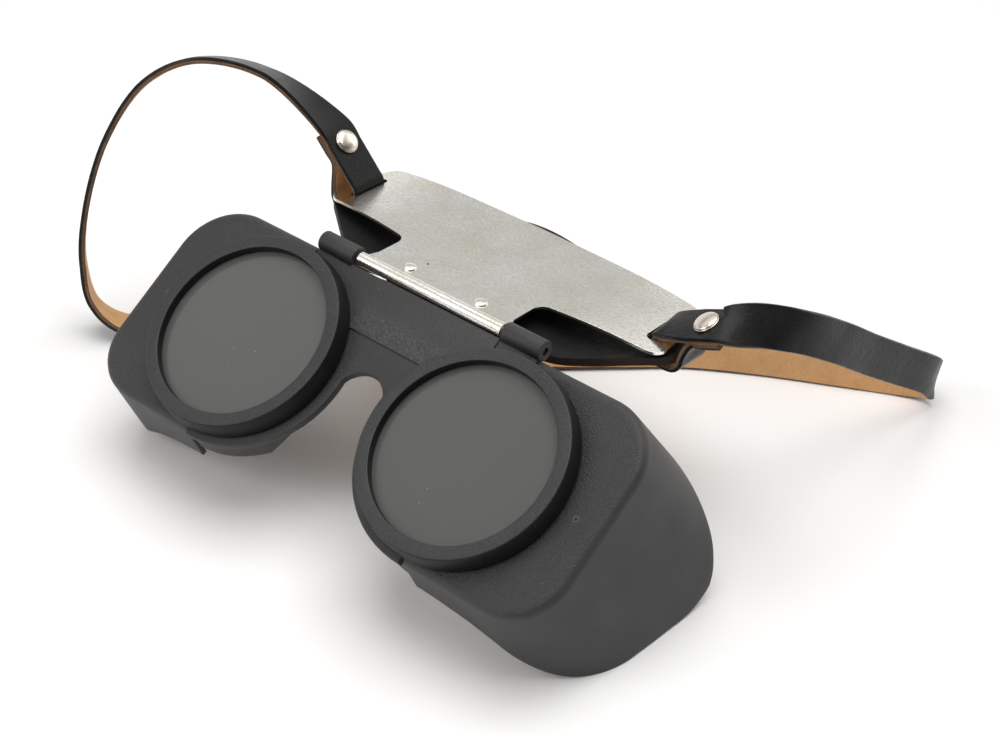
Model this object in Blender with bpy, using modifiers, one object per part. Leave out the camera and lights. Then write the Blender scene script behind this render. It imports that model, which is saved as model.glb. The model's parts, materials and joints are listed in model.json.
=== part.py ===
"""Welding glasses: a moulded two-cell frame with screwed lens rings, side shields,
a sheet-steel brow plate on a hinge pin, a leather brow pad and a riveted leather strap.

Units are metres and +Z is up.  The goggles lie on a table as they are put down: on the
lower rear corners of the two shields and on the strap.  Goggle parts are drawn in the
goggle datum (x to the wearer's left, y up the lens plane, z out of the lenses), and brow
parts in the brow datum (x along the pin, y up the plate, z out of its front face).
"""
import bpy
import bmesh
from math import asin, atan2, ceil, cos, degrees, hypot, pi, radians, sin, tan
from mathutils import Matrix, Vector

# How the goggles lie
GOGGLE_TILT = 31.3      # degrees from the lenses facing straight up
PLATE_LEAN = 35.5       # degrees that the brow plate leans back from the lens plane

# Glasses and what holds them
LENS_R = 0.025
LENS_T = 0.003
BACKING_T = 0.002
GASKET_T = 0.0015
GASKET_LEDGE = 0.0022   # how far gasket and seat reach in under the glasses
SEAT_GAP = 0.0003       # clearance between pieces that touch
STACK_TOP = -0.0027     # front of the filter glass, below the ring's front

# Lens ring
RING_FACE_Z = 0.0
RING_LIP = 0.0013       # how far the ring covers the glass
RING_SHOULDER = 0.0019  # how far its collar stands out over its skirt
RING_TAPER = 0.00075    # how much the collar narrows towards its front
RING_CHAMFER = 0.0004
SKIRT_WALL = 0.0008
SKIRT_END = 0.0007      # what the skirt stays short of the seat

# Moulded frame
FACE_Z = -0.00605       # front face of bridge and shields
BRIDGE_T = 0.0022
CELL_WALL = 0.0015
CELL_FLARE = 10.0       # degrees
CELL_END_Z = -0.0150
CELL_GAP = 0.01908      # between the two cells, over the nose
FLANGE_RIM = 0.0014     # how far the flange shows round the ring
FLANGE_SHIFT = 0.0014   # flange centre, towards the nose from the lens centre
ARCH_R = 0.0072
ARCH_Y = -0.0004
BRIDGE_RISE = 0.0017    # top of the bridge above the rings
BAND_Y = 0.0147         # lower edge of the raised band on the bridge
BAND_T = 0.0004
FLANK_CLEAR = 0.0010    # nose flank: what it leaves outside the cell at the front
FLANK_LAND = 0.0006     # and outside the aperture at the cell's end
FLANK_TURN = 11.3       # degrees that the flank faces below the nose

# Hinge
PIN_RISE = 0.0026       # pin above the top of the bridge
PIN_Z = -0.0064
PIN_R = 0.00102
PIN_CLEAR = 0.00008
KNUCKLE_R = 0.0028
KNUCKLE_IN_X = 0.0249
KNUCKLE_WEB = 0.0030
WEB_INSET = 0.0004
PIN_SHORT = 0.0004      # how far the pin stays inside each outer knuckle end

# Side shields
SHIELD_WALL = 0.0013
SHIELD_REACH = 0.0397       # lens centre to the temple side of the front face
SHIELD_ABOVE = 0.0022       # front face above and below the lens ring
SHIELD_BELOW = 0.0009
SHIELD_CORNER_TOP = 0.0168
SHIELD_CORNER_BOTTOM = 0.0150
SHIELD_FILLET = 0.0027
SHIELD_FILLET_LOW = 0.0021      # along its bottom, where the notch comes close
SHIELD_FLARE_OUT = 8.5      # degrees that the wall flares: at the temple
SHIELD_FLARE_TOP = 3.0      # along its top
SHIELD_FLARE_BOTTOM = 8.6   # and along its bottom
SHIELD_NOSE_DEPTH = 0.0122
SHIELD_TEMPLE_DEPTH = 0.0500
SHIELD_LEDGE = 0.0002       # what its notch clears round the ring's bore
# depth of the shield's rear edge from nose (0) to temple (1), along the outline from
# its lower inner end to its upper inner end
REAR_DEPTH_SHARES = ((0.0, 0.0), (0.10, 0.05), (0.20, 0.20), (0.29, 0.48), (0.39, 0.72), (0.46, 0.86),
                     (0.53, 0.98), (0.58, 1.0), (0.64, 0.84), (0.71, 0.55), (0.79, 0.26), (0.88, 0.08),
                     (1.0, 0.0))

# Brow plate, outline across x and up the plate
SHEET_T = 0.0008
PLATE_FRONT_Z = 0.0004  # front face of the plate, in front of the pin's axis
BARREL_SHORT = 0.00084  # what the barrel stays short of each knuckle
NECK_X = 0.0229
NECK_FILLET = 0.0026
TAB_IN_Y = 0.0153
TAB_OUT_Y = 0.0200
PLATE_END_X = 0.0565
PLATE_TOP_Y = 0.0446
PLATE_CROWN = 0.0010    # how much the top edge falls from its middle to its corners
PLATE_CORNER_LOW = 0.0045
PLATE_CORNER_HIGH = 0.0055
BEND_FROM_X = 0.026     # the plate is flat between these, and curves back outside them
BEND_R = 0.200
SLOT_X = 0.05055
SLOT_WIDTH = 0.0031
SLOT_LENGTH = 0.0130
SLOT_Y = 0.0303
DIMPLE_X = 0.0120
DIMPLE_Y = 0.0052
DIMPLE_R = 0.0016
DIMPLE_H = 0.0006
BARREL_GAP = 52.0       # degrees left open in the rolled barrel

# Brow pad
PAD_T = 0.0022
PAD_GAP = 0.0004        # behind the plate, at its middle
PAD_SAG = 0.0050        # further back half way out, drawn in again at the slots
PAD_SAG_X = 0.0620
PAD_END_X = 0.0572
PAD_LOW_Y = 0.0058
PAD_TOP_Y = 0.0475
PAD_LOW_RISE = 0.0170
PAD_TOP_FALL = 0.0020
PAD_CORNER_R = 0.0060
PAD_FLAT_X = 0.0340     # the pad's edges are straight between these
PAD_SLOT_WIDTH = 0.0034
PAD_SLOT_LENGTH = 0.0132

# Strap
STRAP_W = 0.0110
STRAP_T = 0.0020
LAYER_GAP = 0.0003
LEFT_RISE = 45.0        # degrees at which each end leaves the plate
RIGHT_RISE = 23.5
LEFT_TWIST = 0.0        # degrees that each end has turned about its own run at the rivet
RIGHT_TWIST = 20.0
LEFT_RIVET_RUN = 0.0125     # fold to rivet
RIGHT_RIVET_RUN = 0.0129
FOLD_OUT = 0.00055      # where the strap folds up: outwards of the slot's middle
FOLD_ABOVE = 0.0011     # and above the plate's face
TAIL_RUN = 0.0060       # rivet to the end of the tail
STRAP_REACH = 0.100
# Free run of the strap from the left rivet to the right one: its middle, in shares of
# STRAP_REACH and never lower than the table allows, then the direction across it
STRAP_ROUTE_SHARES = (
    ((-0.793, 0.529, 0.825), (-0.55, 0.70, -0.34)),
    ((-0.954, 0.434, 0.848), (-0.64, 0.60, -0.44)),
    ((-1.091, 0.354, 0.768), (-0.68, 0.56, -0.47)),
    ((-1.185, 0.264, 0.594), (-0.70, 0.51, -0.50)),
    ((-1.223, 0.184, 0.380), (-0.70, 0.49, -0.52)),
    ((-1.218, 0.144, 0.220), (-0.68, 0.53, -0.50)),
    ((-1.178, 0.134, 0.100), (-0.62, 0.64, -0.44)),
    ((-1.103, 0.179, 0.035), (-0.54, 0.80, -0.22)),
    ((-0.985, 0.322, 0.000), (-0.52, 0.85, -0.03)),
    ((-0.754, 0.492, 0.000), (-0.53, 0.85, 0.00)),
    ((-0.452, 0.662, 0.000), (-0.55, 0.83, 0.05)),
    ((-0.155, 0.836, 0.000), (-0.55, 0.80, 0.25)),
    ((0.055, 1.001, 0.000), (-0.38, 0.62, 0.70)),
    ((0.225, 1.132, 0.000), (-0.15, 0.38, 0.92)),
    ((0.425, 1.247, 0.000), (-0.07, 0.25, 0.97)),
    ((0.625, 1.347, 0.000), (-0.06, 0.20, 0.98)),
    ((0.755, 1.412, 0.000), (-0.05, 0.20, 0.98)),
    ((0.835, 1.437, 0.070), (-0.02, 0.24, 0.96)),
    ((0.860, 1.387, 0.125), (0.03, 0.30, 0.94)),
    ((0.846, 1.212, 0.257), (0.00, 0.40, 0.90)),
    ((0.831, 1.070, 0.363), (-0.03, 0.46, 0.86)),
    ((0.821, 0.914, 0.484), (-0.08, 0.52, 0.82)),
    ((0.795, 0.775, 0.579), (0.10, 0.56, 0.80)),
    ((0.728, 0.690, 0.613), (-0.06, 0.84, 0.54)),
)

# Rivets
RIVET_HEAD_R = 0.0034
RIVET_DOME = 0.0014
RIVET_RIM = 0.0004
RIVET_SHANK_R = 0.0013
RIVET_BASE_R = 0.0026
RIVET_BASE_T = 0.0008

# Facets
ROUND_STEPS = 64
SMALL_STEPS = 24
ARC_STEP = 7.5          # degrees
MERGE = 0.00001
CUT_OVERRUN = 0.010

COLOURS = {
    "nylon": ((0.028, 0.028, 0.030), 0.55, 0.0),
    "filter": ((0.030, 0.032, 0.034), 0.08, 0.0),
    "clear": ((0.80, 0.84, 0.83), 0.05, 0.0),
    "fibre": ((0.33, 0.20, 0.12), 0.85, 0.0),
    "zinc": ((0.60, 0.59, 0.56), 0.32, 1.0),
    "steel": ((0.45, 0.45, 0.46), 0.30, 1.0),
    "nickel": ((0.72, 0.69, 0.65), 0.18, 1.0),
    "hide": ((0.018, 0.018, 0.020), 0.45, 0.0),
}


def clear_scene():
    for item in list(bpy.data.objects):
        bpy.data.objects.remove(item, do_unlink=True)
    for collection in list(bpy.data.collections):
        bpy.data.collections.remove(collection)


def material(kind):
    found = bpy.data.materials.get(kind)
    if found:
        return found
    colour, roughness, metallic = COLOURS[kind]
    made = bpy.data.materials.new(kind)
    made.use_nodes = True
    shader = made.node_tree.nodes["Principled BSDF"]
    shader.inputs["Base Color"].default_value = (*colour, 1.0)
    shader.inputs["Roughness"].default_value = roughness
    shader.inputs["Metallic"].default_value = metallic
    return made


def mirrored(points):
    return [(-x, y) for x, y in reversed(points)]


def arc(centre, radius, start, end):
    """Points on an arc between two angles in degrees, ends included."""
    steps = max(2, ceil(abs(end - start) / ARC_STEP))
    return [(centre[0] + radius * cos(radians(start + (end - start) * i / steps)),
             centre[1] + radius * sin(radians(start + (end - start) * i / steps))) for i in range(steps + 1)]


def fillet(before, corner, after, radius):
    """The arc that rounds one corner of an outline."""
    a = (Vector(before) - Vector(corner)).normalized()
    b = (Vector(after) - Vector(corner)).normalized()
    half = a.angle(b) / 2
    centre = Vector(corner) + (a + b).normalized() * (radius / sin(half))
    first = Vector(corner) + a * (radius / tan(half)) - centre
    last = Vector(corner) + b * (radius / tan(half)) - centre
    start = degrees(atan2(first.y, first.x))
    turn = degrees(atan2(first.x * last.y - first.y * last.x, first.dot(last)))
    return arc(centre, radius, start, start + turn)


def blend_shares(table, share):
    """Straight-line value between the rows of a table of (share, value)."""
    for (a, low), (b, high) in zip(table, table[1:]):
        if share <= b:
            t = (share - a) / (b - a)
            return low + (high - low) * t
    return table[-1][1]


def link(item, collection, parent=None, kind=None):
    collection.objects.link(item)
    item.parent = parent
    if kind:
        item.data.materials.clear()
        item.data.materials.append(material(kind))
    return item


def smooth(mesh, angle=30):
    mesh.shade_smooth()
    mesh.set_sharp_from_angle(angle=radians(angle))


def curve_to_mesh(name, curve):
    """Turn a curve into a welded mesh."""
    holder = bpy.data.objects.new(name + "_curve", curve)
    bpy.context.scene.collection.objects.link(holder)
    graph = bpy.context.evaluated_depsgraph_get()
    mesh = bpy.data.meshes.new_from_object(holder.evaluated_get(graph))
    bpy.data.objects.remove(holder, do_unlink=True)
    bm = bmesh.new()
    bm.from_mesh(mesh)
    bmesh.ops.remove_doubles(bm, verts=bm.verts, dist=MERGE)
    bmesh.ops.recalc_face_normals(bm, faces=bm.faces)
    bm.to_mesh(mesh)
    bm.free()
    mesh.name = name
    return mesh


def slab(name, outline, low, high, holes=()):
    """A flat outline in x and y, filled between two heights in z."""
    curve = bpy.data.curves.new(name, "CURVE")
    curve.dimensions = "2D"
    curve.fill_mode = "BOTH"
    curve.extrude = (high - low) / 2
    for loop in (outline, *holes):
        spline = curve.splines.new("POLY")
        spline.points.add(len(loop) - 1)
        for point, (x, y) in zip(spline.points, loop):
            point.co = (x, y, 0.0, 1.0)
        spline.use_cyclic_u = True
    mesh = curve_to_mesh(name, curve)
    mesh.transform(Matrix.Translation((0.0, 0.0, (high + low) / 2)))
    return mesh


def turned(name, profile, collection, steps=ROUND_STEPS, on_axis=False):
    """A profile of (radius, z), outer side first and downwards, turned about z."""
    mesh = bpy.data.meshes.new(name)
    count = len(profile)
    edges = [(i, i + 1) for i in range(count - 1)]
    if not on_axis:
        edges.append((count - 1, 0))
    mesh.from_pydata([(r, 0.0, z) for r, z in profile], edges, [])
    item = link(bpy.data.objects.new(name, mesh), collection)
    screw = item.modifiers.new("Turn", "SCREW")
    screw.steps = steps
    screw.render_steps = steps
    screw.use_merge_vertices = True
    screw.merge_threshold = MERGE
    screw.use_smooth_shade = True
    return item


def settled(item):
    """Give an object its evaluated mesh and drop its modifiers."""
    graph = bpy.context.evaluated_depsgraph_get()
    mesh = bpy.data.meshes.new_from_object(item.evaluated_get(graph))
    item.modifiers.clear()
    item.data = mesh
    return item


def cylinder(name, radius, start, end, y, z, collection, steps=SMALL_STEPS):
    """A cylinder along x."""
    mesh = bpy.data.meshes.new(name)
    bm = bmesh.new()
    turn = Matrix.Translation(((start + end) / 2, y, z)) @ Matrix.Rotation(pi / 2, 4, "Y")
    bmesh.ops.create_cone(bm, cap_ends=True, segments=steps, radius1=radius, radius2=radius,
                          depth=abs(end - start), matrix=turn)
    bm.to_mesh(mesh)
    bm.free()
    return link(bpy.data.objects.new(name, mesh), collection)


def block(name, low, high, collection):
    mesh = bpy.data.meshes.new(name)
    bm = bmesh.new()
    size = [b - a for a, b in zip(low, high)]
    middle = [(a + b) / 2 for a, b in zip(low, high)]
    bmesh.ops.create_cube(bm, size=1.0, matrix=Matrix.Translation(middle) @ Matrix.Diagonal((*size, 1.0)))
    bm.to_mesh(mesh)
    bm.free()
    return link(bpy.data.objects.new(name, mesh), collection)


def combine(item, tool, operation):
    modifier = item.modifiers.new(operation.title(), "BOOLEAN")
    modifier.operation = operation
    modifier.solver = "EXACT"
    modifier.object = tool
    tool.display_type = "WIRE"
    tool.hide_render = True


# Values that follow from the sizes above
TILT = radians(GOGGLE_TILT)
APERTURE_R = LENS_R - GASKET_LEDGE
SKIRT_IN_R = LENS_R + SEAT_GAP
SKIRT_R = SKIRT_IN_R + SKIRT_WALL
RING_BORE_R = LENS_R - RING_LIP
RING_BASE_R = SKIRT_R + RING_SHOULDER
RING_FRONT_R = RING_BASE_R - RING_TAPER
CELL_BORE_R = SKIRT_R + SEAT_GAP
CELL_R = CELL_BORE_R + CELL_WALL
LENS_X = CELL_R + CELL_GAP / 2
FLANGE_R = RING_BASE_R + FLANGE_RIM
FLANK_FRONT = CELL_R + FLANK_CLEAR
FLANK_REAR = APERTURE_R + FLANK_LAND
BRIDGE_TOP_Y = RING_BASE_R + BRIDGE_RISE
PIN_Y = BRIDGE_TOP_Y + PIN_RISE
BORE_R = PIN_R + PIN_CLEAR
SHIELD_X = LENS_X + SHIELD_REACH
SHIELD_TOP_Y = RING_BASE_R + SHIELD_ABOVE
SHIELD_BOTTOM_Y = -RING_BASE_R - SHIELD_BELOW
SHIELD_NOTCH_R = CELL_BORE_R + SHIELD_LEDGE
FILTER_BACK = STACK_TOP - LENS_T
BACKING_TOP = FILTER_BACK - SEAT_GAP
BACKING_BACK = BACKING_TOP - BACKING_T
GASKET_TOP = BACKING_BACK - SEAT_GAP
GASKET_BACK = GASKET_TOP - GASKET_T
SEAT_Z = GASKET_BACK - SEAT_GAP
LIP_Z = STACK_TOP + SEAT_GAP
RING_BASE_Z = FACE_Z + BAND_T + SEAT_GAP
CELL_RIM_Z = FACE_Z - SHIELD_WALL - SEAT_GAP
KNUCKLE_OUT_X = LENS_X - SEAT_GAP
BARREL_R = BORE_R + SHEET_T
BARREL_X = KNUCKLE_IN_X - BARREL_SHORT
PLATE_BACK_Z = PLATE_FRONT_Z - SHEET_T
FOLD_X = SLOT_X + FOLD_OUT


def lens_profile(radius, top, bottom):
    return [(0.0, top), (radius, top), (radius, bottom), (0.0, bottom)]


def build_stack(side, label, parts, datum):
    """Filter glass, backing glass, gasket and screwed ring of one cell."""
    x = side * LENS_X
    made = []
    filter_glass = turned(f"filter_glass_{label}", lens_profile(LENS_R, STACK_TOP, FILTER_BACK), parts, on_axis=True)
    backing = turned(f"backing_glass_{label}", lens_profile(LENS_R, BACKING_TOP, BACKING_BACK), parts, on_axis=True)
    gasket = turned(f"gasket_{label}", [(LENS_R, GASKET_TOP), (LENS_R, GASKET_BACK),
                                        (APERTURE_R, GASKET_BACK), (APERTURE_R, GASKET_TOP)], parts)
    skirt_z = SEAT_Z + SKIRT_END
    ring = turned(f"lens_ring_{label}", [
        (RING_BORE_R + RING_CHAMFER, RING_FACE_Z), (RING_FRONT_R - RING_CHAMFER, RING_FACE_Z),
        (RING_FRONT_R, RING_FACE_Z - RING_CHAMFER), (RING_BASE_R, RING_BASE_Z), (SKIRT_R, RING_BASE_Z),
        (SKIRT_R, skirt_z), (SKIRT_IN_R, skirt_z), (SKIRT_IN_R, LIP_Z), (RING_BORE_R, LIP_Z),
        (RING_BORE_R, RING_FACE_Z - RING_CHAMFER)], parts)
    for item, kind in ((filter_glass, "filter"), (backing, "clear"), (gasket, "fibre"), (ring, "nylon")):
        item.data.materials.append(material(kind))
        item.parent = datum
        item.location = (x, 0.0, 0.0)
        made.append(item)
    return made


def bridge_outline():
    """Half of the bridge plate at +x, from the arch's top round the flange to the top edge."""
    centre = (LENS_X - FLANGE_SHIFT, 0.0)
    # where the flange circle and the arch circle meet
    gap = hypot(centre[0], centre[1] - ARCH_Y)
    along = (gap * gap + ARCH_R * ARCH_R - FLANGE_R * FLANGE_R) / (2 * gap)
    across = (ARCH_R * ARCH_R - along * along) ** 0.5
    meet = Vector((along * centre[0] / gap, ARCH_Y + along * (centre[1] - ARCH_Y) / gap + across))
    arch_end = degrees(atan2(meet.y - ARCH_Y, meet.x))
    flange_start = degrees(atan2(meet.y - centre[1], meet.x - centre[0])) % 360
    reach = KNUCKLE_OUT_X - WEB_INSET / 2 - centre[0]
    flange_end = 360 - degrees(atan2((FLANGE_R ** 2 - reach ** 2) ** 0.5, reach))
    arch = arc((0.0, ARCH_Y), ARCH_R, 90, arch_end)
    flange = arc(centre, FLANGE_R, flange_start, flange_end)
    return arch[1:] + flange[1:] + [(KNUCKLE_OUT_X - WEB_INSET / 2, BRIDGE_TOP_Y)]


def build_frame(parts, tools, datum):
    """Bridge, two lens cells and the outer knuckles, moulded in one."""
    half = bridge_outline()
    apex = [(0.0, ARCH_Y + ARCH_R)]
    outline = apex + half + mirrored(half)
    mesh = slab("front_frame", outline, FACE_Z - BRIDGE_T, FACE_Z)
    frame = link(bpy.data.objects.new("front_frame", mesh), parts, datum, "nylon")
    band = block("bridge_band", (-KNUCKLE_IN_X, BAND_Y, FACE_Z - BRIDGE_T / 2),
                 (KNUCKLE_IN_X, BRIDGE_TOP_Y - BAND_T, FACE_Z + BAND_T), tools)
    combine(frame, band, "UNION")
    depth = CELL_RIM_Z - CELL_END_Z
    flare = depth * tan(radians(CELL_FLARE))
    cell_profile = [(0.0, CELL_RIM_Z), (CELL_R, CELL_RIM_Z), (CELL_R + flare, CELL_END_Z), (0.0, CELL_END_Z)]
    bore_profile = [(0.0, CUT_OVERRUN), (CELL_BORE_R, CUT_OVERRUN), (CELL_BORE_R, SEAT_Z),
                    (APERTURE_R, SEAT_Z), (APERTURE_R, CELL_END_Z - CUT_OVERRUN),
                    (0.0, CELL_END_Z - CUT_OVERRUN)]
    for side, label in ((-1, "left"), (1, "right")):
        ends = sorted((side * KNUCKLE_IN_X, side * KNUCKLE_OUT_X))
        web = block(f"knuckle_web_{label}",
                    (ends[0] + WEB_INSET, BRIDGE_TOP_Y - KNUCKLE_WEB, FACE_Z - BRIDGE_T + WEB_INSET),
                    (ends[1] - WEB_INSET, PIN_Y, FACE_Z - WEB_INSET), tools)
        combine(frame, web, "UNION")
        knuckle = cylinder(f"knuckle_{label}", KNUCKLE_R, ends[0], ends[1], PIN_Y, PIN_Z, tools)
        combine(frame, knuckle, "UNION")
        cell = settled(turned(f"cell_{label}", cell_profile, tools, on_axis=True))
        cell.location = (side * LENS_X, 0.0, 0.0)
        combine(frame, cell, "UNION")
    for side, label in ((-1, "left"), (1, "right")):
        bore = settled(turned(f"ring_bore_{label}", bore_profile, tools, on_axis=True))
        bore.location = (side * LENS_X, 0.0, 0.0)
        combine(frame, bore, "DIFFERENCE")
        combine(frame, nose_flank(side, label, tools), "DIFFERENCE")
        for edge in ("top", "bottom"):
            combine(frame, shield_relief(side, label, edge, tools), "DIFFERENCE")
    pin_bore = cylinder("pin_bore", BORE_R, -LENS_X * 2, LENS_X * 2, PIN_Y, PIN_Z, tools)
    combine(frame, pin_bore, "DIFFERENCE")
    for tool in tools.objects:
        tool.parent = datum
    smooth(frame.data)
    return frame


def nose_flank(side, label, tools):
    """The slope that clears the nose, cut off the rear of a cell."""
    front_z = FACE_Z - BRIDGE_T
    lean = atan2(FLANK_FRONT - FLANK_REAR, front_z - CELL_END_Z)
    size = CUT_OVERRUN * 4
    tool = block(f"nose_flank_{label}", (0.0, -size, -size), (size, size, 0.0), tools)
    place = (Matrix.Translation((side * LENS_X, 0.0, front_z))
             @ Matrix.Rotation(pi if side > 0 else 0.0, 4, "Z")
             @ Matrix.Rotation(radians(FLANK_TURN) * side, 4, "Z")
             @ Matrix.Translation((FLANK_FRONT, 0.0, 0.0)) @ Matrix.Rotation(lean, 4, "Y"))
    tool.data.transform(place)
    return tool


def shield_relief(side, label, edge, tools):
    """What a cell loses where the shield's flared wall passes above or below it."""
    sign, wall_y, flare, fillet_r = {
        "top": (1, SHIELD_TOP_Y, SHIELD_FLARE_TOP, SHIELD_FILLET),
        "bottom": (-1, SHIELD_BOTTOM_Y, SHIELD_FLARE_BOTTOM, SHIELD_FILLET_LOW)}[edge]
    size = CUT_OVERRUN * 4
    xs = sorted((-side * SEAT_GAP, side * size))
    ys = sorted((0.0, sign * size))
    tool = block(f"shield_relief_{edge}_{label}", (xs[0], ys[0], -size), (xs[1], ys[1], size), tools)
    place = (Matrix.Translation((side * LENS_X, wall_y - sign * (SHIELD_WALL + SEAT_GAP), FACE_Z - fillet_r))
             @ Matrix.Rotation(sign * radians(flare), 4, "X"))
    tool.data.transform(place)
    return tool


def shield_outline():
    """Outline points with their outward directions, from the lower inner end to the upper."""
    inner = LENS_X
    low_centre = (SHIELD_X - SHIELD_CORNER_BOTTOM, SHIELD_BOTTOM_Y + SHIELD_CORNER_BOTTOM)
    high_centre = (SHIELD_X - SHIELD_CORNER_TOP, SHIELD_TOP_Y - SHIELD_CORNER_TOP)
    rows = []

    def straight(start, end, direction, steps):
        for i in range(steps):
            t = i / steps
            rows.append(((start[0] + (end[0] - start[0]) * t, start[1] + (end[1] - start[1]) * t), direction))

    def corner(centre, radius, start, end):
        for x, y in arc(centre, radius, start, end)[:-1]:
            rows.append(((x, y), ((x - centre[0]) / radius, (y - centre[1]) / radius)))

    straight((inner, SHIELD_BOTTOM_Y), (low_centre[0], SHIELD_BOTTOM_Y), (0.0, -1.0), 6)
    corner(low_centre, SHIELD_CORNER_BOTTOM, -90, 0)
    straight((SHIELD_X, low_centre[1]), (SHIELD_X, high_centre[1]), (1.0, 0.0), 6)
    corner(high_centre, SHIELD_CORNER_TOP, 0, 90)
    straight((high_centre[0], SHIELD_TOP_Y), (inner, SHIELD_TOP_Y), (0.0, 1.0), 6)
    rows.append(((inner, SHIELD_TOP_Y), (0.0, 1.0)))
    return rows


def shield_rows():
    """Grid of the shield's outer surface: lens notch, face, fillet, wall, rear edge."""
    outline = shield_outline()
    lengths = [0.0]
    for (a, _), (b, _) in zip(outline, outline[1:]):
        lengths.append(lengths[-1] + hypot(b[0] - a[0], b[1] - a[1]))
    shares = [value / lengths[-1] for value in lengths]
    out = tan(radians(SHIELD_FLARE_OUT))
    up = tan(radians(SHIELD_FLARE_TOP))
    down = tan(radians(SHIELD_FLARE_BOTTOM))
    rows = [[(LENS_X + SHIELD_NOTCH_R * sin(pi * share), -SHIELD_NOTCH_R * cos(pi * share), FACE_Z)
             for share in shares]]
    radii = [SHIELD_FILLET - (SHIELD_FILLET - SHIELD_FILLET_LOW) * max(0.0, -ny) for _, (_, ny) in outline]
    fillet_steps = 4
    for step in range(fillet_steps + 1):
        turn = pi / 2 * step / fillet_steps
        rows.append([(x - nx * radius * (1 - sin(turn)), y - ny * radius * (1 - sin(turn)),
                      FACE_Z - radius * (1 - cos(turn))) for ((x, y), (nx, ny)), radius in zip(outline, radii)])
    wall_steps = 4
    for step in range(1, wall_steps + 1):
        row = []
        for ((x, y), (nx, ny)), share, radius in zip(outline, shares, radii):
            rear = SHIELD_NOSE_DEPTH + (SHIELD_TEMPLE_DEPTH - SHIELD_NOSE_DEPTH) * blend_shares(
                REAR_DEPTH_SHARES, share)
            depth = (rear - radius) * step / wall_steps
            row.append((x + nx * depth * out, y + ny * depth * (up if ny > 0 else down),
                        FACE_Z - radius - depth))
        rows.append(row)
    return rows


def build_shield(side, label, parts, datum):
    rows = shield_rows()
    columns = len(rows[0])
    mesh = bpy.data.meshes.new(f"side_shield_{label}")
    bm = bmesh.new()
    grid = [[bm.verts.new((side * x, y, z)) for x, y, z in row] for row in rows]
    for upper, lower in zip(grid, grid[1:]):
        for i in range(columns - 1):
            corners = (upper[i], lower[i], lower[i + 1], upper[i + 1])
            bm.faces.new(corners if side > 0 else corners[::-1])
    bm.to_mesh(mesh)
    bm.free()
    smooth(mesh, 35)
    shield = link(bpy.data.objects.new(f"side_shield_{label}", mesh), parts, datum, "nylon")
    solid = shield.modifiers.new("Wall", "SOLIDIFY")
    solid.thickness = SHIELD_WALL
    solid.offset = -1
    solid.use_even_offset = True
    return shield


def rest_height():
    """How high the goggle datum stands when the shields' lowest corners meet the table."""
    return -min(y * sin(TILT) + z * cos(TILT) for x, y, z in shield_rows()[-1])


def bend(x):
    """How far the plate has curved back at x."""
    return max(0.0, abs(x) - BEND_FROM_X) ** 2 / (2 * BEND_R)


def fold_z():
    """Height of the strap's fold over the slots."""
    return PLATE_FRONT_Z - bend(SLOT_X) + FOLD_ABOVE


def pad_sag(x):
    return bend(x) + PAD_SAG * sin(pi * min(1.0, abs(x) / PAD_SAG_X)) ** 2


def pad_depth(x):
    """Middle of the pad behind the pin's axis."""
    return PAD_GAP - PLATE_BACK_Z + PAD_T / 2 + pad_sag(x)


def bent_sheet(name, section, reach, sag_at, collection, cuts):
    """A section in y and z run along x, then bent back by a depth that varies with x."""
    mesh = slab(name, section, -reach, reach)
    bm = bmesh.new()
    bm.from_mesh(mesh)
    # the slab is drawn in x and y: turn it so that its length runs along x
    bm.transform(Matrix(((0, 0, 1, 0), (1, 0, 0, 0), (0, 1, 0, 0), (0, 0, 0, 1))))
    for x in cuts:
        everything = bm.verts[:] + bm.edges[:] + bm.faces[:]
        bmesh.ops.bisect_plane(bm, geom=everything, plane_co=(x, 0, 0), plane_no=(1, 0, 0))
    for vert in bm.verts:
        vert.co.z -= sag_at(vert.co.x)
    bm.to_mesh(mesh)
    bm.free()
    return link(bpy.data.objects.new(name, mesh), collection)


def slot_outline(x, y, width, length):
    radius = width / 2
    straight = length / 2 - radius
    return arc((x, y + straight), radius, 0, 180) + arc((x, y - straight), radius, 180, 360)


def plate_outline():
    """Half of the brow plate at +x, from the barrel round to the top's middle."""
    tab_slope = (TAB_OUT_Y - TAB_IN_Y) / (PLATE_END_X - NECK_X)
    low_corner = (PLATE_END_X, TAB_OUT_Y)
    high_corner = (PLATE_END_X - PLATE_CORNER_HIGH / 2, PLATE_TOP_Y - PLATE_CROWN)
    neck_corner = (NECK_X, TAB_IN_Y)
    neck = fillet((NECK_X, 0.0), neck_corner, low_corner, NECK_FILLET)
    low = fillet(neck_corner, low_corner, high_corner, PLATE_CORNER_LOW)
    high = fillet(low_corner, high_corner, (0.0, PLATE_TOP_Y), PLATE_CORNER_HIGH)
    barrel = [(BARREL_X, -CUT_OVERRUN), (BARREL_X, BARREL_R), (NECK_X, BARREL_R + NECK_FILLET)]
    return barrel + neck + low + high


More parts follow.
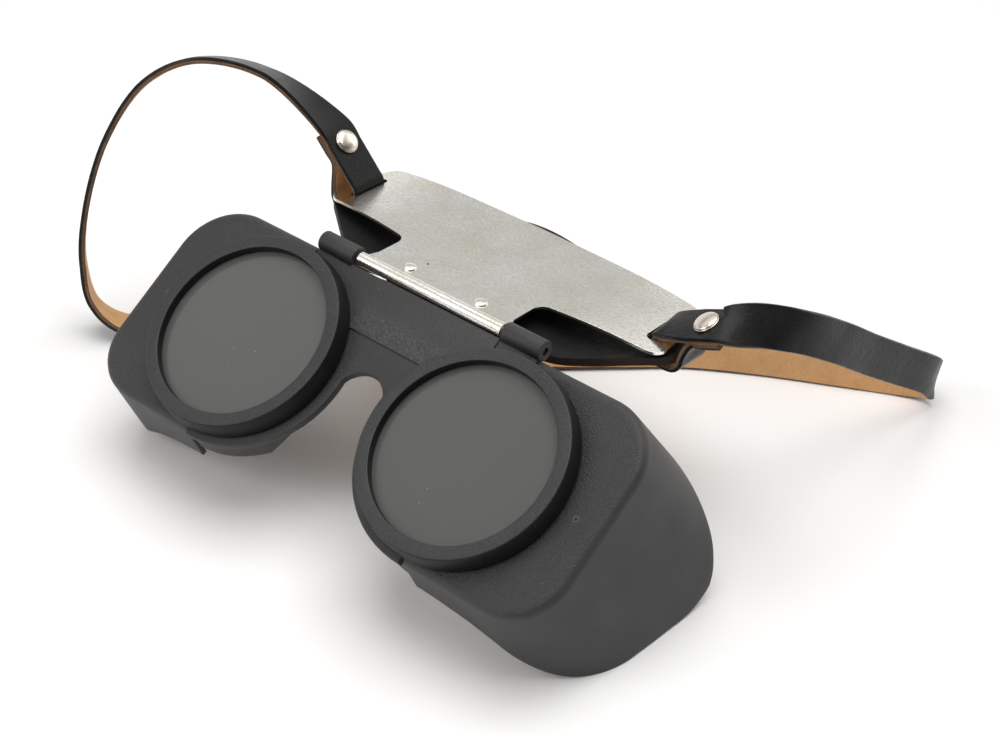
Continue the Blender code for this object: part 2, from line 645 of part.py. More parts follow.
def build_plate(parts, tools, datum):
    """Sheet-steel brow plate: bent sheet cut to its outline, with a rolled barrel."""
    top = PLATE_TOP_Y + CUT_OVERRUN
    # rolled from the plate's lower edge to the front, round the pin and up behind it
    barrel_in = arc((0.0, 0.0), BORE_R, degrees(asin(PLATE_BACK_Z / BORE_R)), 360 - BARREL_GAP)
    barrel_out = arc((0.0, 0.0), BARREL_R, 360 - BARREL_GAP, degrees(asin(PLATE_FRONT_Z / BARREL_R)))
    section = [(top, PLATE_BACK_Z)] + barrel_in + barrel_out + [(top, PLATE_FRONT_Z)]
    reach = PLATE_END_X + CUT_OVERRUN
    cuts = [side * (BEND_FROM_X + (reach - BEND_FROM_X) * i / 10) for side in (-1, 1) for i in range(10)]
    plate = bent_sheet("brow_plate", section, reach, bend, parts, cuts)
    half = plate_outline()
    outline = half + [(0.0, PLATE_TOP_Y)] + mirrored(half)
    prism = link(bpy.data.objects.new("plate_outline", slab("plate_outline", outline, -CUT_OVERRUN * 2,
                                                            CUT_OVERRUN)), tools)
    combine(plate, prism, "INTERSECT")
    for side, label in ((-1, "left"), (1, "right")):
        slot = slab(f"plate_slot_{label}", slot_outline(side * SLOT_X, SLOT_Y, SLOT_WIDTH, SLOT_LENGTH),
                    -CUT_OVERRUN * 2, CUT_OVERRUN)
        combine(plate, link(bpy.data.objects.new(f"plate_slot_{label}", slot), tools), "DIFFERENCE")
    for side, label in ((-1, "left"), (1, "right")):
        dome = bpy.data.meshes.new("dimple")
        bm = bmesh.new()
        bmesh.ops.create_uvsphere(bm, u_segments=16, v_segments=8, radius=1.0,
                                  matrix=Matrix.Translation((side * DIMPLE_X, DIMPLE_Y, PLATE_FRONT_Z))
                                  @ Matrix.Diagonal((DIMPLE_R, DIMPLE_R, DIMPLE_H, 1.0)))
        bm.to_mesh(dome)
        bm.free()
        combine(plate, link(bpy.data.objects.new(f"dimple_{label}", dome), tools), "UNION")
    plate.parent = datum
    plate.data.materials.append(material("zinc"))
    smooth(plate.data)
    return plate


def build_pad(parts, tools, datum):
    """Leather brow pad: a band behind the plate, slotted at each end for the strap."""
    low_corner = (PAD_END_X, PAD_LOW_Y + PAD_LOW_RISE)
    high_corner = (PAD_END_X, PAD_TOP_Y - PAD_TOP_FALL)
    half = ([(PAD_FLAT_X * 0.5, PAD_LOW_Y)]
            + fillet((0.0, PAD_LOW_Y), (PAD_FLAT_X, PAD_LOW_Y), low_corner, PAD_LOW_RISE)
            + fillet((PAD_FLAT_X, PAD_LOW_Y), low_corner, high_corner, PAD_LOW_RISE / 3)
            + fillet(low_corner, high_corner, (PAD_FLAT_X, PAD_TOP_Y), PAD_CORNER_R)
            + fillet(high_corner, (PAD_FLAT_X, PAD_TOP_Y), (0.0, PAD_TOP_Y), PAD_LOW_RISE))
    front = -pad_depth(0.0) + PAD_T / 2
    top = PAD_TOP_Y + CUT_OVERRUN
    section = [(0.0, front), (0.0, front - PAD_T), (top, front - PAD_T), (top, front)]
    reach = PAD_END_X + CUT_OVERRUN
    cuts = [reach * (i / 16 - 1) for i in range(1, 32)]
    pad = bent_sheet("brow_pad", section, reach, pad_sag, parts, cuts)
    prism = slab("pad_outline", half + mirrored(half), -CUT_OVERRUN * 3, CUT_OVERRUN)
    combine(pad, link(bpy.data.objects.new("pad_outline", prism), tools), "INTERSECT")
    for side, label in ((-1, "left"), (1, "right")):
        slot = slab(f"pad_slot_{label}", slot_outline(side * SLOT_X, SLOT_Y, PAD_SLOT_WIDTH, PAD_SLOT_LENGTH),
                    -CUT_OVERRUN * 3, CUT_OVERRUN)
        combine(pad, link(bpy.data.objects.new(f"pad_slot_{label}", slot), tools), "DIFFERENCE")
    pad.parent = datum
    pad.data.materials.append(material("hide"))
    smooth(pad.data)
    return pad


def strap_axes(side, rise, twist):
    """Directions along, out of and across the strap at a rivet, in the brow datum."""
    slope = radians(rise)
    along = Vector((cos(slope), 0.0, sin(slope)))
    turn = Matrix.Rotation(radians(twist), 3, along)
    axes = along, turn @ Vector((-sin(slope), 0.0, cos(slope))), turn @ Vector((0.0, 1.0, 0.0))
    return [Vector((side * v.x, v.y, v.z)) for v in axes]


def strap_end(side, rise, twist, rivet_run):
    """One strap end in the brow datum, from its tail out to the free run: points and widths."""
    along, out, across = strap_axes(1, rise, twist)
    fold = Vector((FOLD_X, SLOT_Y, fold_z()))
    under = out * (STRAP_T + LAYER_GAP)
    pad_back = pad_depth((SLOT_X + PAD_END_X) / 2) + PAD_T / 2 + SEAT_GAP + STRAP_T / 2
    pad_out = PAD_END_X + SEAT_GAP + STRAP_T / 2

    def at(x, z):
        return Vector((x, SLOT_Y, z))
    tail = [fold + along * (rivet_run + TAIL_RUN) - under,
            fold + along * rivet_run - under,
            fold + along * (rivet_run - RIVET_HEAD_R) - under,
            at(pad_out + STRAP_T * 0.35, (fold.z - pad_back) * 0.42),
            at(pad_out + STRAP_T * 0.20, -pad_back + STRAP_T * 0.60),
            at(pad_out - STRAP_T * 0.8, -pad_back - STRAP_T * 0.4),
            at(SLOT_X + STRAP_T * 0.9, -pad_back - STRAP_T * 0.4),
            at(SLOT_X + STRAP_T * 0.05, -pad_back + STRAP_T * 0.5),
            at(SLOT_X, -pad_depth(SLOT_X) + PAD_T * 0.3),
            at(SLOT_X, PLATE_BACK_Z - bend(SLOT_X) + SHEET_T / 2),
            fold,
            fold + along * STRAP_T,
            fold + along * (rivet_run - RIVET_HEAD_R),
            fold + along * rivet_run,
            fold + along * (rivet_run + RIVET_HEAD_R + RIVET_RIM)]
    straight = Vector((0.0, 1.0, 0.0))
    turned_by = [1.0, 1.0, 1.0, 0.5, *[0.0] * 6, 0.3, 0.6, 1.0, 1.0, 1.0]
    return [(Vector((side * p.x, p.y, p.z)), Vector((side * w.x, w.y, w.z)))
            for p, w in ((p, straight.lerp(across, share).normalized()) for p, share in zip(tail, turned_by))]


def catmull(points, spacing):
    """Centripetal curve through the points, with a parameter for each sample."""
    knots = [0.0]
    for a, b in zip(points, points[1:]):
        knots.append(knots[-1] + (b - a).length ** 0.5)
    ends = [points[0] * 2 - points[1], *points, points[-1] * 2 - points[-2]]
    times = [knots[0] - (knots[1] - knots[0]), *knots, knots[-1] + knots[-1] - knots[-2]]
    samples = []
    for i in range(len(points) - 1):
        p = ends[i:i + 4]
        t = times[i:i + 4]
        count = max(2, ceil((p[2] - p[1]).length / spacing))
        for k in range(count + (i == len(points) - 2)):
            u = t[1] + (t[2] - t[1]) * k / count
            a = [p[j] * ((t[j + 1] - u) / (t[j + 1] - t[j])) + p[j + 1] * ((u - t[j]) / (t[j + 1] - t[j]))
                 for j in range(3)]
            b = [a[j] * ((t[j + 2] - u) / (t[j + 2] - t[j])) + a[j + 1] * ((u - t[j]) / (t[j + 2] - t[j]))
                 for j in range(2)]
            samples.append((b[0] * ((t[2] - u) / (t[2] - t[1])) + b[1] * ((u - t[1]) / (t[2] - t[1])),
                            i + k / count))
    return samples


def build_strap(parts, tools, datum, brow):
    """Leather head strap, one length, wrapped through both slots and laid on the table."""
    left, right = ([(brow @ p, brow.to_3x3() @ w) for p, w in strap_end(*given)] for given in (
        (-1, LEFT_RISE, LEFT_TWIST, LEFT_RIVET_RUN), (1, RIGHT_RISE, RIGHT_TWIST, RIGHT_RIVET_RUN)))
    points = [p for p, _ in left]
    widths = [w for _, w in left]
    for (x, y, height), direction in STRAP_ROUTE_SHARES:
        width = Vector(direction).normalized()
        flat = Vector((width.x, width.y, 0.0)).length
        half = abs(width.z) * STRAP_W / 2 + flat * STRAP_T / 2
        points.append(Vector((x * STRAP_REACH, y * STRAP_REACH, max(height * STRAP_REACH, half))))
        widths.append(width)
    points += [p for p, _ in reversed(right)]
    widths += [w for _, w in reversed(right)]
    samples = catmull(points, STRAP_T * 2)
    sections = []
    for i, (middle, where) in enumerate(samples):
        before = samples[max(i - 1, 0)][0]
        after = samples[min(i + 1, len(samples) - 1)][0]
        forward = (after - before).normalized()
        index = min(int(where), len(widths) - 2)
        width = widths[index].lerp(widths[index + 1], where - index)
        width = (width - forward * width.dot(forward)).normalized()
        inward = forward.cross(width)
        sections.append((middle, width * (STRAP_W / 2), inward * (STRAP_T / 2)))
    mesh = bpy.data.meshes.new("head_strap")
    bm = bmesh.new()
    to_brow = brow.inverted()
    loops = [[bm.verts.new(to_brow @ (middle + width * a + inward * b))
              for a, b in ((-1, -1), (1, -1), (1, 1), (-1, 1))] for middle, width, inward in sections]
    for first, second in zip(loops, loops[1:]):
        for i in range(4):
            j = (i + 1) % 4
            bm.faces.new((first[i], second[i], second[j], first[j]))
    bm.faces.new(loops[0])
    bm.faces.new(reversed(loops[-1]))
    bmesh.ops.recalc_face_normals(bm, faces=bm.faces)
    bm.to_mesh(mesh)
    bm.free()
    strap = link(bpy.data.objects.new("head_strap", mesh), parts, datum, "hide")
    smooth(mesh, 40)
    return strap


def build_rivets(parts, tools, datum, strap):
    """Capped rivets through the two layers at each strap end."""
    stack = 2 * STRAP_T + LAYER_GAP
    for side, label, rise, twist, rivet_run in ((-1, "left", LEFT_RISE, LEFT_TWIST, LEFT_RIVET_RUN),
                                                (1, "right", RIGHT_RISE, RIGHT_TWIST, RIGHT_RIVET_RUN)):
        along, out, _ = strap_axes(side, rise, twist)
        top = Vector((side * FOLD_X, SLOT_Y, fold_z())) + along * rivet_run + out * (STRAP_T / 2)
        turn = out.to_track_quat("Z", "Y").to_euler()
        seat = SEAT_GAP
        dome = [(RIVET_HEAD_R * sin(a), seat + RIVET_RIM + RIVET_DOME * cos(a))
                for a in (pi / 2 * i / 6 for i in range(7))]
        cap = turned(f"rivet_cap_{label}", [
            *dome, (RIVET_HEAD_R, seat), (RIVET_SHANK_R, seat),
            (RIVET_SHANK_R, -stack - seat - RIVET_BASE_T / 2), (0.0, -stack - seat - RIVET_BASE_T / 2)],
            parts, SMALL_STEPS, on_axis=True)
        bore = RIVET_SHANK_R + SEAT_GAP
        base_z = -stack - seat
        base = turned(f"rivet_base_{label}", [
            (RIVET_BASE_R, base_z), (RIVET_BASE_R, base_z - RIVET_BASE_T), (bore, base_z - RIVET_BASE_T),
            (bore, base_z)], parts, SMALL_STEPS)
        punch = settled(turned(f"strap_hole_{label}", lens_profile(bore, STRAP_T, -stack - STRAP_T), tools,
                               SMALL_STEPS, on_axis=True))
        for item in (cap, base, punch):
            item.parent = datum
            item.location = top
            item.rotation_euler = turn
        for item in (cap, base):
            item.data.materials.append(material("nickel"))
        combine(strap, punch, "DIFFERENCE")


def centre_on_origin(root, parts):
    """Put the middle of the part's footprint at the origin."""
    bpy.context.view_layer.update()
    graph = bpy.context.evaluated_depsgraph_get()
    corners = []
    for item in parts.objects:
        evaluated = item.evaluated_get(graph)
        corners += [evaluated.matrix_world @ vert.co for vert in evaluated.data.vertices]
    low = [min(corner[i] for corner in corners) for i in range(3)]
    high = [max(corner[i] for corner in corners) for i in range(3)]
    root.location = (-(low[0] + high[0]) / 2, -(low[1] + high[1]) / 2, -low[2])


def build():
    clear_scene()
    scene = bpy.context.scene
    parts = bpy.data.collections.new("welding_glasses")
    tools = bpy.data.collections.new("cutters")
    brow_tools = bpy.data.collections.new("brow_cutters")
    for collection in (parts, tools, brow_tools):
        scene.collection.children.link(collection)
    root = bpy.data.objects.new("part_datum", None)
    scene.collection.objects.link(root)
    goggle = bpy.data.objects.new("goggle_datum", None)
    goggle.parent = root
    goggle.location = (0.0, 0.0, rest_height())
    goggle.rotation_euler = (TILT, 0.0, 0.0)
    scene.collection.objects.link(goggle)
    brow = bpy.data.objects.new("brow_datum", None)
    brow.parent = goggle
    brow.location = (0.0, PIN_Y, PIN_Z)
    brow.rotation_euler = (-radians(PLATE_LEAN), 0.0, 0.0)
    scene.collection.objects.link(brow)
    brow_matrix = (Matrix.Translation(goggle.location) @ Matrix.Rotation(TILT, 4, "X")
                   @ Matrix.Translation(brow.location) @ Matrix.Rotation(-radians(PLATE_LEAN), 4, "X"))
    for side, label in ((-1, "left"), (1, "right")):
        build_stack(side, label, parts, goggle)
        build_shield(side, label, parts, goggle)
    build_frame(parts, tools, goggle)
    pin = cylinder("hinge_pin", PIN_R, -KNUCKLE_OUT_X + PIN_SHORT, KNUCKLE_OUT_X - PIN_SHORT, 0.0, 0.0, parts)
    pin.parent = goggle
    pin.location = (0.0, PIN_Y, PIN_Z)
    pin.data.materials.append(material("steel"))
    smooth(pin.data)
    build_plate(parts, brow_tools, brow)
    build_pad(parts, brow_tools, brow)
    strap = build_strap(parts, brow_tools, brow, brow_matrix)
    build_rivets(parts, brow_tools, brow, strap)
    for tool in brow_tools.objects:
        tool.parent = brow
        tool.display_type = "WIRE"
        tool.hide_render = True
    centre_on_origin(root, parts)


build()
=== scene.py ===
"""Welding glasses on a pale table, lenses up, with the leather strap looped out to both sides."""
import json
from math import asin, atan2, ceil, cos, degrees, hypot, pi, radians, sin, sqrt, tan

import bmesh
import bpy
from mathutils import Matrix, Vector


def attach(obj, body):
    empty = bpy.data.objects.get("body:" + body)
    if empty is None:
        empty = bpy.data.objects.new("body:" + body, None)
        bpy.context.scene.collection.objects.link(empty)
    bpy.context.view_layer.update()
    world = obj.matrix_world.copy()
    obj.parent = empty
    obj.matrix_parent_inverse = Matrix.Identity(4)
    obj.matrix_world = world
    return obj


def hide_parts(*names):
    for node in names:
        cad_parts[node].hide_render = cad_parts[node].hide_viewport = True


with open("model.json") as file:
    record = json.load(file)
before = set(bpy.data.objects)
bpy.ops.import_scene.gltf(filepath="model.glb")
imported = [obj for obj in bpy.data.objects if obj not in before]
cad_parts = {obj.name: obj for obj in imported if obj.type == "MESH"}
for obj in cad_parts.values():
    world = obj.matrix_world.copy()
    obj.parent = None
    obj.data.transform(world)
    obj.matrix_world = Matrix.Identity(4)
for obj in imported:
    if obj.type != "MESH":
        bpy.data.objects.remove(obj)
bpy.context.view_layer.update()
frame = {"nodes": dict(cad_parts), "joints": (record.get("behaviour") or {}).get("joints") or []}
scene = bpy.context.scene
scene.view_settings.view_transform = "Standard"

# Table, camera and studio light
# The glasses lie on a wide sheet of white card under a large overhead softbox, with a smaller
# one in front on the left and a weak one behind.


def linear(hex_colour):
    """sRGB hex to the linear colour a shader takes."""
    channels = [int(hex_colour[i:i + 2], 16) / 255 for i in (1, 3, 5)]
    return [c / 12.92 if c <= 0.04045 else ((c + 0.055) / 1.055) ** 2.4 for c in channels] + [1.0]


def add(tree, kind, settings=()):
    """One node with its settings and sockets, by name or number.

    A socket takes a value, another socket, or a node, which feeds it from its first live output.
    The stops of a colour ramp are positions with hex colours.
    """
    made = tree.nodes.new(kind)
    for name, value in dict(settings).items():
        if isinstance(value, bpy.types.Node):
            value = next(output for output in value.outputs if output.enabled)
        if isinstance(value, bpy.types.NodeSocket):
            tree.links.new(value, made.inputs[name])
        elif name == "stops":
            stops = made.color_ramp.elements
            for stop, (position, tone) in zip(stops, (value[0], value[-1])):
                stop.position = position
                stop.color = linear(tone)
            for position, tone in value[1:-1]:
                stops.new(position).color = linear(tone)
        elif isinstance(name, int) or name in made.inputs:
            made.inputs[name].default_value = value
        else:
            setattr(made, name, value)
    return made


def new_material(name, coordinates="Object"):
    """An empty material, its node tree and the coordinates its patterns lie in."""
    made = bpy.data.materials.new(name)
    made.use_nodes = True
    tree = made.node_tree
    tree.nodes.clear()
    return made, tree, add(tree, "ShaderNodeTexCoord").outputs[coordinates]


# Everything here is placed from the point on the table under the middle of the two rings.
joints = {joint["name"]: joint for joint in frame["joints"]}
ring_left = Vector(joints["ring_left_turn"]["pos_m"])
ring_right = Vector(joints["ring_right_turn"]["pos_m"])
TABLE_DATUM = Vector(((ring_left.x + ring_right.x) / 2, ring_left.y, 0.0))
CAMERA_PLACE = TABLE_DATUM + Vector((0.27185, -0.2574, 0.33329))
CAMERA_RIGHT = (0.7575, 0.6528, 0.0)
CAMERA_AHEAD = (-0.520, 0.602, -0.605)
CAMERA_LENS = 69.5
camera = bpy.data.objects.new("camera", bpy.data.cameras.new("camera"))
scene.collection.objects.link(camera)
camera.data.lens = CAMERA_LENS
camera.data.sensor_width = 36.0
camera.data.clip_start = 0.01
ahead = Vector(CAMERA_AHEAD).normalized()
right = Vector(CAMERA_RIGHT)
right = (right - ahead * right.dot(ahead)).normalized()
camera.matrix_world = Matrix.LocRotScale(
    CAMERA_PLACE, Matrix((right, right.cross(ahead), -ahead)).transposed().to_quaternion(), None)
scene.camera = camera


def sight_rays(tree):
    """Masks for what the camera sees, for what gloss and clear glass see, and for both."""
    rays = add(tree, "ShaderNodeLightPath")
    gloss = add(tree, "ShaderNodeMath", {"operation": "MAXIMUM", 0: rays.outputs["Is Glossy Ray"],
                                         1: rays.outputs["Is Transmission Ray"]})
    both = add(tree, "ShaderNodeMath", {"operation": "MAXIMUM", 0: gloss, 1: rays.outputs["Is Camera Ray"]})
    return rays.outputs["Is Camera Ray"], gloss, both


# Matt white card, which takes the soft shadow of the object. Further out it shows plain white.
CARD_HALF = 3.0
SHADOW_R = 0.24
WHITE_R = 0.42
card, tree, place = new_material("matt_white_card")
paint = add(tree, "ShaderNodeBsdfPrincipled", {"Base Color": linear("#fefdfc"), "Roughness": 0.9,
                                               "Specular IOR Level": 0.1})
white = add(tree, "ShaderNodeEmission", {"Color": linear("#ffffff"), "Strength": 1.0})
away = add(tree, "ShaderNodeVectorMath", {"operation": "DISTANCE", 0: place, 1: TABLE_DATUM})
far_out = add(tree, "ShaderNodeMapRange", {"interpolation_type": "SMOOTHSTEP", 0: away, 1: SHADOW_R,
                                           2: WHITE_R, 3: 0.0, 4: 1.0})
share = add(tree, "ShaderNodeMath", {"operation": "MULTIPLY", 0: far_out, 1: sight_rays(tree)[2]})
shader = add(tree, "ShaderNodeMixShader", {0: share, 1: paint, 2: white})
add(tree, "ShaderNodeOutputMaterial", {"Surface": shader})
table_mesh = bpy.data.meshes.new("table")
table_mesh.from_pydata([(x * CARD_HALF, y * CARD_HALF, 0.0) for x, y in ((-1, -1), (1, -1), (1, 1), (-1, 1))],
                       [], [(0, 1, 2, 3)])
table_mesh.materials.append(card)
table = bpy.data.objects.new("table", table_mesh)
scene.collection.objects.link(table)

# The room lights the table dimly and evenly, and the camera sees it plain white. Gloss sees a
# pale room that darkens half-way up, where the softbox ends, and on the camera's side.
ROOM_LEVEL = 0.27
CAMERA_SIDE = (0.60, -0.70, 0.38)
DIM_SIDE = 0.15
ROOM_TONES = ((0.0, "#ffffff"), (0.30, "#f4f4f4"), (0.47, "#8c8c8c"), (0.59, "#ffffff"), (0.72, "#ffffff"),
              (1.0, "#dddddd"))
world = bpy.data.worlds.new("studio")
world.use_nodes = True
scene.world = world
tree = world.node_tree
sight = add(tree, "ShaderNodeTexCoord").outputs["Generated"]
toward = add(tree, "ShaderNodeVectorMath", {"operation": "DOT_PRODUCT", 0: sight, 1: CAMERA_SIDE})
dimming = add(tree, "ShaderNodeMapRange", {"interpolation_type": "SMOOTHSTEP", 0: toward, 1: -0.25, 2: 0.70,
                                           3: 1.0, 4: DIM_SIDE})
height = add(tree, "ShaderNodeSeparateXYZ", {0: sight}).outputs["Z"]
walls = add(tree, "ShaderNodeValToRGB", {"stops": ROOM_TONES, "Fac": height})
walls.color_ramp.interpolation = "EASE"
seen = add(tree, "ShaderNodeMath", {"operation": "MULTIPLY", 0: walls, 1: dimming})
from_camera, from_gloss, _ = sight_rays(tree)
gloss_room = add(tree, "ShaderNodeMix", {0: from_gloss, 2: ROOM_LEVEL, 3: seen})
room = add(tree, "ShaderNodeMix", {0: from_camera, 2: gloss_room, 3: 1.0})
tree.links.new(room.outputs[0], tree.nodes["Background"].inputs["Strength"])
tree.nodes["Background"].inputs["Color"].default_value = linear("#ffffff")

# Softboxes: name, place, where it points, width in metres and power in watts.
SOFTBOXES = (
    ("overhead", (0.08, 0.06, 1.00), (0.0, 0.0, 0.0), 0.90, 8.3),
    ("front_left", (-0.35, -0.80, 0.62), (0.0, 0.0, 0.02), 0.55, 3.5),
    ("behind", (0.30, 0.80, 0.45), (0.0, 0.05, 0.03), 0.50, 1.0),
)
for name, lamp_place, target, size, power in SOFTBOXES:
    lamp = bpy.data.objects.new(name, bpy.data.lights.new(name, "AREA"))
    lamp.data.size = size
    lamp.data.energy = power
    lamp.location = lamp_place
    lamp.rotation_euler = (Vector(target) - Vector(lamp_place)).to_track_quat("-Z", "Y").to_euler()
    scene.collection.objects.link(lamp)

# Front frame
# One black nylon injection moulding: bridge with its nose arch, two round cells that the
# lens rings screw into, and the two outer knuckles of the brow hinge. Its tool was
# spark-eroded, which leaves an even fine grain that scatters the light.
pin_place = Vector(joints["brow_hinge"]["pos_m"])
lens_axis = Vector(joints["ring_left_turn"]["axis"])
TILT = atan2(-lens_axis.y, lens_axis.z)
PLATE_LEAN = radians(35.5)
GOGGLES = Matrix.Translation((ring_left + ring_right) / 2) @ Matrix.Rotation(TILT, 4, "X")
BROW = Matrix.Translation(pin_place) @ Matrix.Rotation(TILT - PLATE_LEAN, 4, "X")
LENS_X = (ring_right - ring_left).length / 2

FACE_Z = -0.00605
BRIDGE_T = 0.0022
EDGE_R = 0.00035
FLANGE_R = 0.0294
FLANGE_SHIFT = 0.0014
ARCH_R = 0.0072
ARCH_Y = -0.0004
BRIDGE_TOP_Y = 0.0302
WEDGE_DROP = 0.0011
WEDGE_X = 0.0130
LIP_FROM_X = 0.0150
LIP_H = 0.0011
LIP_T = 0.0007
BAND_Y = 0.0147
BAND_TOP_Y = 0.0232
BAND_REACH_X = 0.0145
BAND_FADE = 0.0030
BAND_T = 0.0004
CLEARANCE = 0.0003
CELL_BORE_R = 0.0264
CELL_R = 0.0279
CELL_FLARE = radians(10.0)
SHIELD_WALL = 0.0013
CELL_RIM_Z = FACE_Z - SHIELD_WALL - CLEARANCE
CELL_END_Z = -0.0150
SEAT_Z = -0.0101
APERTURE_R = 0.0228
FLANK_FRONT = 0.0289
FLANK_REAR = 0.0234
FLANK_TURN = radians(11.3)
PIN_Y = 0.0323
PIN_Z = -0.0064
BORE_R = 0.0011
BORE_FACETS = 32
KNUCKLE_R = 0.0028
KNUCKLE_IN_X = 0.0249
KNUCKLE_OUT_X = LENS_X - CLEARANCE
KNUCKLE_WEB = 0.0030
WEB_INSET = 0.0004
SHIELD_TOP_Y = 0.0302
SHIELD_BOTTOM_Y = -0.0289
SHIELD_FILLET = 0.0027
SHIELD_FILLET_LOW = 0.0021
SHIELD_FLARE_TOP = radians(3.0)
SHIELD_FLARE_BOTTOM = radians(8.6)
FINE = 3.0              # degrees between the points of an arc
OVERRUN = 0.010         # how far a cutting shape goes past what it cuts
MERGE = 0.000004        # points closer than this are one
MM = 1000.0             # a pattern's scale is this over its size in millimetres
SIDES = ((-1, "left"), (1, "right"))


def arc(centre, radius, start, end):
    """Points on an arc between two angles in degrees, ends included."""
    steps = max(2, ceil(abs(end - start) / FINE))
    return [(centre[0] + radius * cos(radians(start + (end - start) * i / steps)),
             centre[1] + radius * sin(radians(start + (end - start) * i / steps))) for i in range(steps + 1)]


def mirrored(points):
    """The same outline on the other side, run backwards."""
    return [(-x, y) for x, y in reversed(points)]


def shown(name, mesh):
    """An object for a mesh, in the scene."""
    made = bpy.data.objects.new(name, mesh)
    scene.collection.objects.link(made)
    return made


def finished_mesh(item):
    """The mesh of an object with its modifiers applied; the object goes."""
    bpy.context.view_layer.update()
    mesh = bpy.data.meshes.new_from_object(item.evaluated_get(bpy.context.evaluated_depsgraph_get()))
    mesh.transform(item.matrix_world)
    bpy.data.objects.remove(item, do_unlink=True)
    return mesh


def slab(outline, low, high, edge=0.0, holes=()):
    """A flat outline filled between two heights, with rounded edges."""
    curve = bpy.data.curves.new("outline", "CURVE")
    curve.dimensions = "2D"
    curve.fill_mode = "BOTH"
    curve.extrude = (high - low) / 2 - edge
    curve.bevel_depth = edge
    curve.bevel_resolution = 2
    curve.offset = -edge
    for loop in (outline, *holes):
        spline = curve.splines.new("POLY")
        spline.points.add(len(loop) - 1)
        for point, (x, y) in zip(spline.points, loop):
            point.co = (x, y, 0.0, 1.0)
        spline.use_cyclic_u = True
    mesh = finished_mesh(shown("outline", curve))
    mesh.transform(Matrix.Translation((0.0, 0.0, (high + low) / 2)))
    return closed(mesh)


def closed(mesh):
    """Welds a mesh and turns its faces outwards."""
    bm = bmesh.new()
    bm.from_mesh(mesh)
    bmesh.ops.remove_doubles(bm, verts=bm.verts, dist=MERGE)
    bmesh.ops.recalc_face_normals(bm, faces=bm.faces)
    bm.to_mesh(mesh)
    bm.free()
    return mesh


def turned(profile, steps=144, on_axis=True):
    """A profile of (radius, z) turned about z."""
    mesh = bpy.data.meshes.new("turned")
    count = len(profile)
    edges = [(i, i + 1) for i in range(count - 1)] + ([] if on_axis else [(count - 1, 0)])
    mesh.from_pydata([(r, 0.0, z) for r, z in profile], edges, [])
    item = shown("turned", mesh)
    screw = item.modifiers.new("Turn", "SCREW")
    screw.steps = screw.render_steps = steps
    screw.use_merge_vertices = True
    screw.merge_threshold = MERGE
    return closed(finished_mesh(item))


def rod(radius, start, end, y, z, steps=48):
    """A rod along x with rounded ends."""
    edge = min(EDGE_R, radius / 3)
    length = end - start
    profile = [(0.0, length), (radius - edge, length), (radius - edge * 0.3, length - edge * 0.3),
               (radius, length - edge), (radius, edge), (radius - edge * 0.3, edge * 0.3),
               (radius - edge, 0.0), (0.0, 0.0)]
    mesh = turned(profile, steps)
    mesh.transform(Matrix.Translation((start, y, z)) @ Matrix.Rotation(pi / 2, 4, "Y"))
    return mesh


def mesh_of(bm, name):
    """A new mesh from finished bmesh data."""
    mesh = bpy.data.meshes.new(name)
    bm.to_mesh(mesh)
    bm.free()
    return mesh


def block(low, high, edge=0.0):
    """A box between two corners, its edges rounded."""
    bm = bmesh.new()
    size = [b - a for a, b in zip(low, high)]
    middle = [(a + b) / 2 for a, b in zip(low, high)]
    bmesh.ops.create_cube(bm, size=1.0, matrix=Matrix.Translation(middle) @ Matrix.Diagonal((*size, 1.0)))
    if edge:
        bmesh.ops.bevel(bm, geom=bm.edges[:], offset=edge, segments=3, profile=0.5, affect="EDGES")
    return mesh_of(bm, "block")


def soften(item, width, segments, angle):
    """Rounds the edges of an object that turn by more than an angle in degrees."""
    bevel = item.modifiers.new("Rounding", "BEVEL")
    bevel.width = width
    bevel.segments = segments
    bevel.limit_method = "ANGLE"
    bevel.angle_limit = radians(angle)


def carve(mesh, *steps):
    """Joins, cuts or meets a mesh with others: each step is an operation and a mesh."""
    item = shown("body", mesh)
    tools = []
    for operation, tool_mesh in steps:
        tool = shown("tool", tool_mesh)
        tools.append(tool)
        modifier = item.modifiers.new(operation, "BOOLEAN")
        modifier.operation = operation
        modifier.solver = "EXACT"
        modifier.object = tool
    result = finished_mesh(item)
    for tool in tools:
        bpy.data.objects.remove(tool, do_unlink=True)
    return result


def moved(mesh, matrix):
    """A mesh put in its place."""
    mesh.transform(matrix)
    return mesh


def dressed(name, mesh, place, body, nodes, materials, sharp=32):
    """A finished piece: in place, shaded, riding on its body and standing for its CAD nodes."""
    mesh.transform(place)
    mesh.name = name
    mesh.shade_smooth()
    mesh.set_sharp_from_angle(angle=radians(sharp))
    kinds = [face.material_index for face in mesh.polygons]
    mesh.materials.clear()
    for material in materials:
        mesh.materials.append(material)
    mesh.polygons.foreach_set("material_index", [min(kind, len(materials) - 1) for kind in kinds])
    axis = place.to_3x3().col[2]
    open_face = mesh.attributes.new("open_face", "FLOAT", "CORNER")
    open_face.data.foreach_set("value", [max(0.0, normal.vector.dot(axis)) for normal in mesh.corner_normals])
    piece = shown(name, mesh)
    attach(piece, body)
    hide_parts(*nodes)
    return piece


